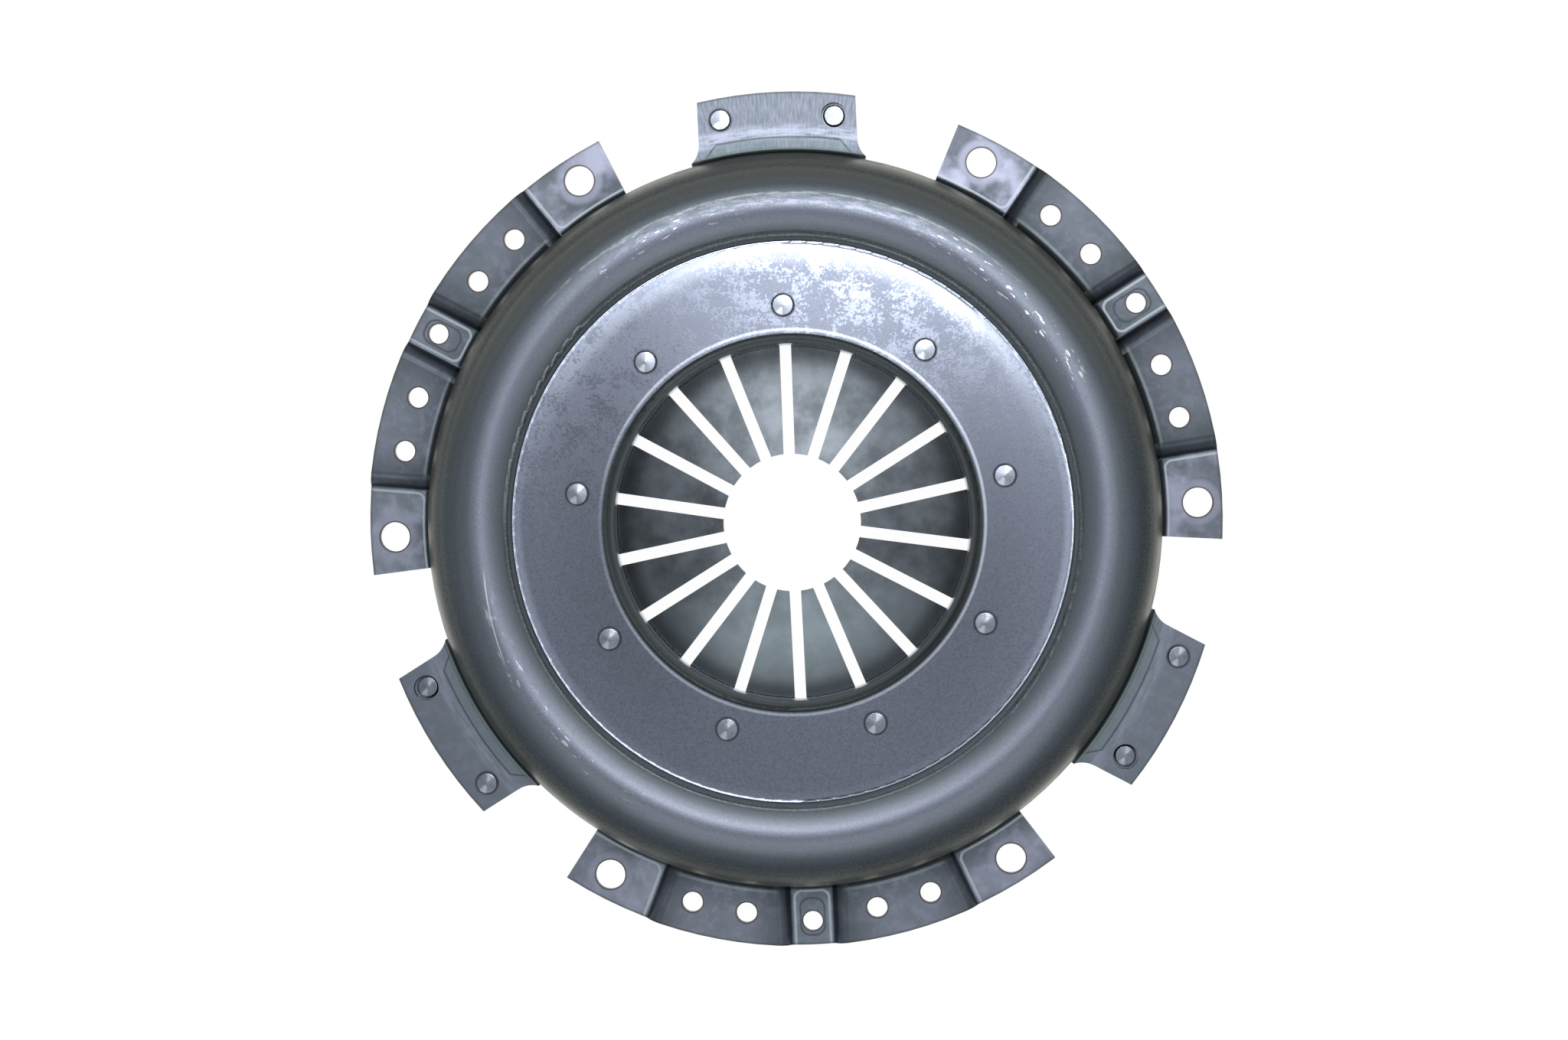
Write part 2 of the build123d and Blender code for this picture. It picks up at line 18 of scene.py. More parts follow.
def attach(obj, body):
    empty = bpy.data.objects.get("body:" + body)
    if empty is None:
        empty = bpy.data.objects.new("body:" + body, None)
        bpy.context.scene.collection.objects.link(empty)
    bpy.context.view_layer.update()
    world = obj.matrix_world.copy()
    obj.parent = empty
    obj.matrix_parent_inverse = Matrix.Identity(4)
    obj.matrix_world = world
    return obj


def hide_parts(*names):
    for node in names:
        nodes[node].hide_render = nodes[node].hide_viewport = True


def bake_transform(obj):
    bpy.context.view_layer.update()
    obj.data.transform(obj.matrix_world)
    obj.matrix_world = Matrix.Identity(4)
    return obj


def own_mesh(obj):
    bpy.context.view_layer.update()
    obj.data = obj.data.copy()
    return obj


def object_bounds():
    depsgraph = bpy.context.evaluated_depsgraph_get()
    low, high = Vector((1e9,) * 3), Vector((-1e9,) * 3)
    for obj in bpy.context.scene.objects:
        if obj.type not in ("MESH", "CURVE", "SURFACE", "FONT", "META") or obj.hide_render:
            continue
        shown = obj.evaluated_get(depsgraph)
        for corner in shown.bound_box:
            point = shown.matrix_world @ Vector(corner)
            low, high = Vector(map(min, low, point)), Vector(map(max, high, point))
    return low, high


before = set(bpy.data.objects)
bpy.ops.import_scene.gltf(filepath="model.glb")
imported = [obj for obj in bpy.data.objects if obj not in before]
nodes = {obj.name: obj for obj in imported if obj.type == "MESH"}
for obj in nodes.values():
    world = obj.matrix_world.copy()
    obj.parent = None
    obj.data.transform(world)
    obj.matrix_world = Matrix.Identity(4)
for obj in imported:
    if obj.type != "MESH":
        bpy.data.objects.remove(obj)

cad_low, cad_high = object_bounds()
print(len(nodes), "nodes,", [round(1000 * size, 1) for size in cad_high - cad_low], "mm")

# %% [markdown]
# ## The camera
#
# A catalogue picture of a round part is taken from straight above with a long lens, so that the
# circles stay round. Here the lens stands 1.5 m up and a little to one side, which shows a sliver
# of every step's wall. A camera can be aimed with a Track To constraint, or its matrix can be
# written out. The matrix is used, because it also holds the small roll of the picture.

# %% Camera
picture_width, picture_height = 2048, 1359
pixel = 0.23336e-3  # size of a pixel at the height of the bolt pads
pad_height = 0.003
camera_height = 1.5
camera_lean = math.radians(2.6)
camera_side = math.radians(40.0)
picture_roll = math.radians(2.53)
part_centre = (1038.66, 679.11)  # the part's axis in the picture, in pixels


def picture_to_floor(across, down):
    """Turns a place in the picture into X and Y, from the pixel size and the roll alone."""
    right = (across - part_centre[0]) * pixel
    up = (part_centre[1] - down) * pixel
    cosine, sine = math.cos(picture_roll), math.sin(picture_roll)
    return right * cosine + up * sine, up * cosine - right * sine


aim = Vector((*picture_to_floor(picture_width / 2, picture_height / 2), pad_height))
lean = Vector((math.cos(camera_side), math.sin(camera_side), 0)) * math.tan(camera_lean)
eye = Vector((0, 0, pad_height)) + (lean + Vector((0, 0, 1))) * camera_height
backwards = (eye - aim).normalized()
upwards = Vector((math.sin(picture_roll), math.cos(picture_roll), 0))
sideways = upwards.cross(backwards).normalized()
upwards = backwards.cross(sideways)
camera = bpy.data.objects.new("picture_camera", bpy.data.cameras.new("picture_camera"))
camera_turn = Matrix((sideways, upwards, backwards)).transposed().to_4x4()
camera.matrix_world = Matrix.Translation(eye) @ camera_turn
camera.data.sensor_width = 36.0
camera.data.lens = camera.data.sensor_width * (eye - aim).length / (picture_width * pixel)
camera.data.clip_start, camera.data.clip_end = 0.05, 20.0
bpy.context.scene.collection.objects.link(camera)
bpy.context.scene.camera = camera
bpy.context.scene.view_settings.view_transform = "Standard"
print("lens", round(camera.data.lens, 1), "mm, eye at", [round(value, 3) for value in eye])

# %% [markdown]
# ## Sums in a material
#
# A procedural material is a chain of small nodes. Wiring every Math node by hand hides the formula,
# so a class called Wire wraps an output socket and lets Python's own signs add the Math nodes.
# Every other node comes from one method, which takes its type, its settings and its sockets.


# %% Wires and finishes
class Wire:
    """An output socket that takes part in sums. Each sign adds one Math node to the material."""

    def __init__(self, finish, socket):
        self.finish = finish
        self.socket = socket

    def math(self, operation, *others, first=None):
        """The Math node of that name, with this wire as its first value unless another is given."""
        values = (self if first is None else first, *others)
        return self.finish.node("ShaderNodeMath", {"operation": operation}, dict(enumerate(values)))

    def out(self, name):
        """Another output of the same node."""
        return Wire(self.finish, self.socket.node.outputs[name])

    def __add__(self, other):
        return self.math("ADD", other)

    def __radd__(self, other):
        return self.math("ADD", self, first=other)

    def __sub__(self, other):
        return self.math("SUBTRACT", other)

    def __rsub__(self, other):
        return self.math("SUBTRACT", self, first=other)

    def __mul__(self, other):
        return self.math("MULTIPLY", other)

    def __rmul__(self, other):
        return self.math("MULTIPLY", self, first=other)

    def __pow__(self, other):
        return self.math("POWER", other)

    def __mod__(self, other):
        return self.math("FLOORED_MODULO", other)

    def __abs__(self):
        return self.math("ABSOLUTE")


class Finish:
    """A material that is being made. All its nodes come from node()."""

    def __init__(self, name):
        self.material = bpy.data.materials.new(name)
        self.material.use_nodes = True
        self.tree = self.material.node_tree
        self.tree.nodes.clear()

    def node(self, kind, settings=None, sockets=None):
        """Adds a node: its settings first, a ramp's stops among them, then its sockets."""
        made = self.tree.nodes.new(kind)
        for name, value in (settings or {}).items():
            if name == "stops":
                for place, colour in value[1:-1]:
                    made.color_ramp.elements.new(place)
                for element, (place, colour) in zip(made.color_ramp.elements, value):
                    element.position, element.color = place, (*colour, 1)
            else:
                setattr(made, name, value)
        for name, value in (sockets or {}).items():
            if isinstance(value, Wire):
                self.tree.links.new(value.socket, made.inputs[name])
            else:
                made.inputs[name].default_value = value
        return Wire(self, made.outputs[0])

    def place(self):
        """Object coordinates in millimetres: the vector, X, Y and Z."""
        metres = self.node("ShaderNodeTexCoord").out("Object")
        vector = self.node("ShaderNodeVectorMath", {"operation": "SCALE"}, {0: metres, "Scale": 1000.0})
        split = self.node("ShaderNodeSeparateXYZ", {}, {0: vector})
        return vector, split.out("X"), split.out("Y"), split.out("Z")

    def vector(self, x, y, z):
        return self.node("ShaderNodeCombineXYZ", {}, {0: x, 1: y, 2: z})

    def rise(self, value, low, high):
        """0 below low, 1 above high and a smooth S between. With low above high it falls."""
        return self.node("ShaderNodeMapRange", {"interpolation_type": "SMOOTHSTEP"},
                         {"Value": value, "From Min": low, "From Max": high, "To Min": 0.0, "To Max": 1.0})

    def band(self, value, centre, half_width, soft):
        """1 within half_width of centre, falling to 0 over soft on each side."""
        return self.rise(abs(value - centre), half_width + soft, half_width)

    def noise(self, vector, scale, detail=2.0, roughness=0.5):
        """Noise whose lumps are about 1 / scale millimetres wide, from 0 to 1."""
        return self.node("ShaderNodeTexNoise", {},
                         {"Vector": vector, "Scale": scale, "Detail": detail, "Roughness": roughness})

    def ramp(self, value, paints):
        """A colour that runs through the paints, each given with the value where it is pure."""
        low, high = paints[0][0], paints[-1][0]
        share = self.node("ShaderNodeMapRange", {}, {"Value": value, "From Min": low, "From Max": high})
        stops = [((place - low) / (high - low), paint) for place, paint in paints]
        return self.node("ShaderNodeValToRGB", {"stops": stops}, {"Fac": share})

    def mix(self, share, first, second):
        """A colour between two colours."""
        paints = {6: first, 7: second}
        paints = {k: v if isinstance(v, Wire) else (*v, 1) for k, v in paints.items()}
        made = self.node("ShaderNodeMix", {"data_type": "RGBA"}, {0: share, **paints})
        return Wire(self, made.socket.node.outputs[2])

    def coats(self, colour, coats):
        """A colour with coats laid over it in turn, each given as its mask and its paint."""
        for share, paint in coats:
            colour = self.mix(share, colour, paint)
        return colour

    def metal(self, colour, roughness, height=None, metallic=1.0, coat=0.0):
        """Ends the material. height is in millimetres, so a Bump distance of 1 mm gives its true size."""
        sockets = {"Base Color": colour if isinstance(colour, Wire) else (*colour, 1),
                   "Roughness": roughness, "Metallic": metallic, "Coat Weight": coat, "Coat Roughness": 0.3}
        if height is not None:
            sockets["Normal"] = self.node("ShaderNodeBump", {}, {"Height": height, "Distance": 0.001})
        shader = self.node("ShaderNodeBsdfPrincipled", {}, sockets)
        self.node_output(shader)
        return self.material

    def node_output(self, shader):
        made = self.tree.nodes.new("ShaderNodeOutputMaterial")
        self.tree.links.new(shader.socket, made.inputs["Surface"])


print("Wire and Finish are ready")

# %% [markdown]
# ## Floor and light
#
# The part lies over a white table between soft lamps. To the camera the table glows at a strength
# near 1, which is white, and the rest of its shader still takes the part's shadow. From below it is
# clear, so that the underside can be seen through it. A broad soft box hangs above the far side, a
# weaker one above the near side, and left and right stay darker, so that each slope of the steel
# has its own tone. A small lamp makes the glare on the flat plateau.

# %% Floor, world and lamps
floor_drop = 0.0005  # below the part's lowest point
floor_half = 4.0
table_glow, glow_share = 1.06, 0.92
room_light = 0.40
floor_mesh = bpy.data.meshes.new("table_top")
corners = [(across * floor_half, up * floor_half, 0) for across, up in ((-1, -1), (1, -1), (1, 1), (-1, 1))]
floor_mesh.from_pydata(corners, [], [(0, 1, 2, 3)])
floor_mesh.transform(Matrix.Translation((0, 0, cad_low.z - floor_drop)))
floor = bpy.data.objects.new("table_top", floor_mesh)
bpy.context.scene.collection.objects.link(floor)
table = Finish("white_table")
paper = table.node("ShaderNodeBsdfDiffuse", {}, {"Color": (0.82, 0.82, 0.81, 1)})
glow = table.node("ShaderNodeEmission", {}, {"Color": (1, 1, 1, 1), "Strength": table_glow})
path = table.node("ShaderNodeLightPath")
shiny = path.out("Is Glossy Ray").math("MAXIMUM", path.out("Is Transmission Ray"))
seen = path.out("Is Camera Ray").math("MAXIMUM", shiny)
lit_top = table.node("ShaderNodeMixShader", {}, {0: seen * glow_share, 1: paper, 2: glow})
from_below = table.node("ShaderNodeNewGeometry").out("Backfacing")
clear = table.node("ShaderNodeBsdfTransparent")
table.node_output(table.node("ShaderNodeMixShader", {}, {0: from_below, 1: lit_top, 2: clear}))
floor_mesh.materials.append(table.material)

world = bpy.data.worlds.new("soft_room")
world.use_nodes = True
room = world.node_tree.nodes["Background"].inputs
room["Color"].default_value = (0.93, 0.96, 1.0, 1)
room["Strength"].default_value = room_light
bpy.context.scene.world = world


def soft_box(name, place, size, power, target=(0, 0, 0)):
    """A rectangular lamp that looks at the target."""
    lamp = bpy.data.lights.new(name, "AREA")
    lamp.shape = "RECTANGLE"
    lamp.size, lamp.size_y = size
    lamp.energy = power
    made = bpy.data.objects.new(name, lamp)
    back = (Vector(place) - Vector(target)).normalized()
    made.matrix_world = Matrix.Translation(place) @ back.to_track_quat("Z", "Y").to_matrix().to_4x4()
    bpy.context.scene.collection.objects.link(made)
    return made


soft_box("far_soft_box", (0.08, 0.42, 1.10), (1.0, 0.48), 2.95)
soft_box("near_soft_box", (0.0, -0.52, 1.07), (1.0, 0.55), 1.9)
soft_box("glare_box", (0.012, 0.17, 1.2), (0.115, 0.17), 2.2, (0.0, 0.08, 0.0))

# %% [markdown]
# ## The cover's steel
#
# The cover is pressed from three-millimetre sheet and phosphated, so it is a dark grey metal with a
# green or blue cast and a fine crystal grain. The press tool rubs it bright where it draws the
# sheet: on the bolt pads and on some edges. Much of the light and shade on its slopes is painted
# into its colour too: painted highlights on edges and along the crest of the bead, and painted
# shade in folds, hollows and on the sides that face away from the lamps. One flat colour could not
# show that, and painted pictures would not fit the shape. Masks made from the distance to the axis,
# the angle about it, the height and the side of the part put each tone where the press leaves it,
# and each painted highlight and shade where the lamps would lay it. The sizes below are those that
# the masks need: three groups of pads, a third of a turn apart, and a strap tab between them.

# %% Sizes of the cover
group_pitch, group_middle, tab_middle = 120.0, 30.0, 60.0  # degrees, the last from a group's middle
bowl_edge, plateau_edge = (111.6, 112.4), (84.7, 84.2)  # where one zone turns into the next
pad_skin, arc_skin = (3.3, 3.05), (6.5, 6.65)  # heights just over pads, just under arcs
ramp_foot, tab_start = 23.2, (43.0, 44.0)  # degrees from a group's middle
bolt_angle, bolt_circle, bolt_hole_radius = 30.0, 122.5, 4.5
dowel_circle, dowel_hole_radius = 122.8, 3.0
balance_angle, balance_spread, balance_circle, balance_hole_radius = 13.5, 4.0, 120.7, 3.1
strap_hole_angle, strap_circle = 52.0, 123.4
fulcrum_first, fulcrum_pitch, fulcrum_circle = 10.0, 40.0, 65.2
struck_corner = 3.0  # corners of the struck pads and dishes
black = (0.0, 0.0, 0.0)
print("bolt circle", 2 * bolt_circle, "mm, groups every", group_pitch, "degrees")

# %% [markdown]
# ## Zones of the cover
#
# Each zone of the real cover is a place where the tool did the same thing: the flange lies under
# the blank holder, the bead is stretched, the plateau is stamped flat. A material could be split
# over many slots for that, but the zones fade into each other. A mask is a number from 0 to 1 at
# each point, so masks can be multiplied, joined and softened. One object keeps them and the noises,
# because several coats share the same grain.


# %% Zones
def polar(finish, x, y):
    """Distance from the axis in millimetres and angle about it in degrees."""
    distance = (x * x + y * y).math("SQRT")
    return distance, finish.node("ShaderNodeMath", {"operation": "ARCTAN2"}, {0: y, 1: x}) * (180 / math.pi)


def fold_angle(angle, middle, pitch):
    """The angle from the nearest of the places that repeat every pitch degrees, signed."""
    return (angle - (middle - pitch / 2)) % pitch - pitch / 2


def larger(first, second):
    """The larger of two numbers at each point."""
    return first.math("MAXIMUM", second)


class CoverZones:
    """Places on the cover, in millimetres and degrees, and masks of its zones."""

    def __init__(self, steel):
        self.spot, self.x, self.y, self.z = steel.place()
        self.radius, self.angle = polar(steel, self.x, self.y)
        self.group = abs(fold_angle(self.angle, group_middle, group_pitch))
        self.along = self.group * self.radius * math.radians(1)
        self.on_flange = steel.rise(self.radius, *bowl_edge)
        self.on_plateau = steel.rise(self.radius, *plateau_edge)
        self.on_tab = self.on_flange * steel.rise(self.group, *tab_start)
        self.on_pad = self.on_flange * steel.rise(self.z, *pad_skin)
        self.on_arc = self.on_flange * steel.rise(self.z, *arc_skin) * (1 - self.on_tab)
        # Grows towards the far side of the part: most painted light and painted shade on the far side is
        # laid with this mask
        self.to_far = steel.rise(self.y, 0.0, 70.0)
        self.mottle = steel.noise(self.spot, 0.30, 4.0, 0.62)
        self.grain = steel.noise(self.spot, 1.7, 3.0, 0.7)
        rubbed_way = steel.vector(self.radius * 0.9, self.angle * 0.30, self.z * 0.3)
        self.streak = steel.noise(rubbed_way, 1.0, 4.0, 0.62)
        self.bolt_hole = self.reach(self.along - self.arc(bolt_angle), bolt_circle) - bolt_hole_radius
        knocked = steel.band(self.angle, 43.0, 12.0, 12.0) + steel.band(self.angle, 113.0, 9.0, 9.0) * 0.6
        knocked = knocked + steel.band(self.angle, -145.0, 16.0, 12.0) * 0.35
        self.nicks = steel.rise(self.streak, 0.60, 0.65) * knocked * steel.band(self.radius, 95.3, 1.2, 3.0)

    def arc(self, degrees):
        """Length of an arc of so many degrees at this distance from the axis."""
        return self.radius * math.radians(degrees)

    def reach(self, side, circle):
        """Distance from a centre on a circle about the axis, side millimetres away round it."""
        return (side ** 2 + (self.radius - circle) ** 2).math("SQRT")


print("zones: flange from", bowl_edge[0], "mm, plateau to", plateau_edge[0], "mm from the axis")

# %% [markdown]
# ## Bead and lip
#
# Between the plateau and the wall runs the bead, a round swell that stiffens the cover, and round
# the centre opening the sheet turns down in a lip. Drawing stretches their steel, and each slope
# of them takes the light its own way, so both the tone and the painted light and shade change with
# the radius more than in any other way. A ramp of paints over the radius is the plainest tool for
# that: it holds the steel's tone together with painted highlights on the edges, painted shade in
# the valley, on the steep slopes and in the corner at the foot of the bead, and a painted
# reflection on its wall. Coats are then laid over it: a mask says where, a paint says what. A
# band's numbers are its middle, half its width and the softness of its sides.

# %% Bead and lip
# The bead's tone over the radius, with painted light and shade in it: a painted highlight on the plateau's
# edge at 84.6 mm, painted shade in the valley near 86 mm and on the outer slope from 105 to 108 mm, a
# painted reflection on the wall at 110.6 mm and painted shade in the corner at 111.4 mm.
bead_tone_and_shading = [(84.6, (0.500, 0.570, 0.640)), (85.3, (0.240, 0.268, 0.300)), (85.75, (0.115, 0.130, 0.148)),
              (86.1, (0.017, 0.021, 0.024)), (86.6, (0.022, 0.026, 0.030)), (87.1, (0.088, 0.100, 0.113)),
              (87.6, (0.168, 0.192, 0.217)), (89.5, (0.180, 0.203, 0.240)), (92.0, (0.145, 0.158, 0.206)),
              (93.6, (0.120, 0.128, 0.173)), (95.2, (0.121, 0.131, 0.176)), (96.8, (0.147, 0.171, 0.212)),
              (98.0, (0.146, 0.163, 0.205)), (100.5, (0.163, 0.188, 0.216)), (103.0, (0.110, 0.131, 0.155)),
              (105.3, (0.051, 0.062, 0.070)), (107.0, (0.028, 0.031, 0.028)), (108.5, (0.063, 0.062, 0.053)),
              (109.6, (0.150, 0.156, 0.132)), (110.6, (0.270, 0.265, 0.210)), (111.4, (0.048, 0.050, 0.038))]
# The lip's tone over the radius: a painted highlight on its lower edge at 53 mm, then painted shade down its
# steep wall.
lip_tone_and_shading = [(53.0, (0.850, 0.880, 0.920)), (53.7, (0.400, 0.430, 0.460)), (54.3, (0.180, 0.205, 0.215)),
             (55.0, (0.100, 0.113, 0.118)), (55.6, (0.048, 0.056, 0.060)), (56.2, (0.028, 0.033, 0.036)),
             (57.0, (0.026, 0.030, 0.033))]


def paint_bead(steel, zone):
    """The bead's colour: a ramp over the radius, painted light and shade, its nicks and one scratch.

    The painted light and shade lie on its far, left and near slopes, and a painted highlight runs
    along the crest on the far side.
    """
    radius, angle = zone.radius, zone.angle
    # Painted shade in the valley on the far side
    valley = steel.band(radius, 86.5, 0.7, 0.9) * zone.to_far
    # Painted light on the outer slope of the bead on the far side
    far_flank_light = steel.band(radius, 104.4, 1.2, 2.0) * zone.to_far
    # Painted light on the outer slope of the bead on the left
    left_flank_light = steel.band(radius, 104.6, 1.2, 2.0) * steel.rise(zone.x + abs(zone.y), -50.0, -100.0)
    # Painted shade at the foot of the bead on the near side
    near_foot_shade = steel.band(radius, 108.3, 1.0, 1.4) * steel.rise(zone.y, 0.0, -90.0)
    # Painted highlight along the crest on the far side, broken up by the streak and grain noises
    crest = steel.band(radius, 97.2, 1.1, 1.8) * steel.band(angle, 90.0, 22.0, 20.0)
    crest_highlight = crest * steel.rise(zone.streak + zone.grain * 0.3, 0.55, 0.78)
    # Painted highlight: a thin pale line along the outer edge of the crest highlight on the far side
    crest_highlight_edge = steel.band(radius, 98.9, 0.15, 0.35) * steel.band(angle, 92.0, 34.0, 16.0)
    scratch_line = radius - (angle + 172.0) * 0.142
    scratch = steel.band(scratch_line, 94.3, 0.05, 0.25) * steel.band(angle, -164.5, 6.0, 4.0)
    return steel.coats(steel.ramp(radius, bead_tone_and_shading), [
        (valley * 0.6, (0.006, 0.007, 0.008)),
        (far_flank_light * 0.5, (0.270, 0.275, 0.245)),
        (left_flank_light * 0.35, (0.180, 0.195, 0.200)),
        (near_foot_shade * 0.35, black),
        (steel.noise(zone.spot, 0.045, 3.0) * 0.35, (0.110, 0.145, 0.140)),
        (steel.rise(zone.grain, 0.35, 0.70) * 0.12, (0.42, 0.44, 0.52)),
        (crest_highlight * 0.20, (0.62, 0.65, 0.82)),
        (crest_highlight_edge * steel.rise(zone.streak, 0.35, 0.60) * 0.45, (0.52, 0.64, 0.60)),
        (zone.nicks + scratch * 0.35, (0.86, 0.88, 0.98))])


def paint_lip(steel, zone):
    """The turned-down lip: a ramp over the radius, with painted shade on the near side of the opening."""
    # Painted shade on the lip on the near side of the opening
    near_lip_shade = steel.band(zone.radius, 56.0, 0.5, 0.6) * steel.rise(zone.y, 0.0, -45.0)
    return steel.mix(near_lip_shade * 0.7, steel.ramp(zone.radius, lip_tone_and_shading), (0.004, 0.005, 0.006))


print("paints over the radius:", len(bead_tone_and_shading), "on the bead,", len(lip_tone_and_shading), "on the lip")

# %% [markdown]
# ## Plateau
#
# The plateau is the flat top that carries the fulcrum rivets. The stamping die polishes its outer
# rim and breaks its two edges, and the middle keeps the grain of the phosphate. Coats do this as
# on the bead, with soft steps at the rim and thin bright bands on the edges. The bright rim and the
# edge bands are partly polish and partly painted highlight, which is stronger on some sides, the
# outer plateau on the far side is brighter still as painted glare, and the inner plateau has painted
# shade to the left and right.

# %% Plateau
opening_edge, rim_edge = 57.9, 84.3


def paint_plateau(steel, zone):
    """Grained steel, brighter to the rim and along both edges, with the lip inside it.

    The bright rim and edges are partly polish and partly painted highlight, and the inner plateau has
    painted shade to the left and right.
    """
    radius, x, y = zone.radius, zone.x, zone.y
    # Share of the bright rim: some polish all round, with more painted highlight to the far side and less on
    # the near side
    rim_polish_and_highlight = 0.35 + zone.to_far * 0.35 - steel.rise(y, -20.0, -70.0) * 0.27
    inner_shade = steel.rise(radius, 84.0, 60.0) * (0.05 + steel.rise(abs(x), 15.0, 60.0) * 0.25)
    # Bright bands on both edges: partly worn steel and partly painted highlight, so their strength changes
    # from side to side
    outer_edge_wear_and_highlight = steel.band(radius, rim_edge, 0.25, 0.55) * (0.40 + steel.rise(x + y, -60.0, 60.0) * 0.45)
    inner_share = 0.06 + steel.rise(x + abs(y), -60.0, 0.0) * 0.18
    inner_edge_wear_and_highlight = steel.band(radius, opening_edge, 0.2, 0.4) * inner_share
    steel_skin = steel.mix(zone.grain, (0.078, 0.090, 0.120), (0.152, 0.168, 0.215))
    plateau = steel.coats(steel_skin, [
        # Painted glare: the outer plateau brighter on the far side
        (steel.rise(radius, 75.5, 81.0) * zone.to_far * 0.30, (0.42, 0.46, 0.56)),
        (steel.rise(radius, 80.5, 82.8) * rim_polish_and_highlight, (0.36, 0.41, 0.53)),
        (inner_shade, (0.020, 0.022, 0.026)),
        (larger(outer_edge_wear_and_highlight, inner_edge_wear_and_highlight), (0.72, 0.78, 0.88))])
    on_lip = steel.rise(radius + steel.rise(y, 0.0, 50.0) * 0.4, 57.5, 56.9)
    return steel.mix(on_lip, plateau, paint_lip(steel, zone))


print("bright edges", opening_edge, "and", rim_edge, "mm from the axis")

# %% [markdown]
# ## Flange
#
# The flange bolts to the flywheel. It has bolt pads and dowel pads on its lowest level, arcs a step
# higher and strap tabs higher still. Pads are struck flat inside a narrow border with a round
# corner. The border's mask is a distance, not a picture: how far a point lies inside the struck
# field, its round corner included. A band round a fixed distance is the line, which is partly
# burnished steel and partly a painted highlight on the border's edge. The slanted ends of the
# coined band on each tab come from the smaller of two distances. The flange also takes painted
# shade towards the wall and to the far right, and painted highlights along the arcs' inner edges
# and the roots of the tabs.

# %% Flange
tab_band_top, tab_band_root = 116.3, 112.7  # radii of the coined band on a tab
tab_band_half_angle, tab_band_slant = 11.3, 2.0 / 3.6


def pad_border_burnish_and_highlight(steel, zone):
    """A line at a fixed distance inside the struck field of a bolt pad, round its inner corner.

    The line is partly burnished steel and partly a painted highlight on the border's edge.
    """
    # Partly burnish and partly painted highlight on the border's edge
    inside = larger(5.9 - zone.along, zone.along - zone.arc(ramp_foot))
    side_reach = larger(struck_corner - inside, 0.0)
    root_reach = larger(struck_corner - (zone.radius - 112.9), 0.0)
    inset = struck_corner - (side_reach ** 2 + root_reach ** 2).math("SQRT")
    return zone.on_pad * steel.band(inset, 0.60, 0.22, 0.30)


def bolt_smear_and_sheen(steel, zone):
    """Steel rubbed bright round the bolts, in clouds and in a ring under the washer.

    It is made brighter towards the far right side, as painted light.
    """
    cloud = steel.rise(steel.noise(zone.spot, 0.075, 4.0, 0.5), 0.38, 0.66)
    bolt_pad = zone.on_pad * steel.rise(zone.group, ramp_foot - 0.6, ramp_foot)
    # Painted light: the rubbed steel is shown brighter towards the far right side
    lit = 0.28 + steel.rise(zone.x * 0.6 + zone.y * 1.3, 0.0, 200.0) * 0.45
    return bolt_pad * larger(cloud, steel.rise(zone.bolt_hole, 3.6, 1.5) * 0.6) * lit


def coined_band(zone):
    """Distance in millimetres inside the coined band: from its top, and from its slanted end."""
    from_middle = tab_middle - zone.group
    band_end = tab_band_half_angle - (zone.radius - tab_band_root) * tab_band_slant - from_middle
    return (tab_band_top - zone.radius).math("MINIMUM", band_end * zone.radius * math.radians(1))


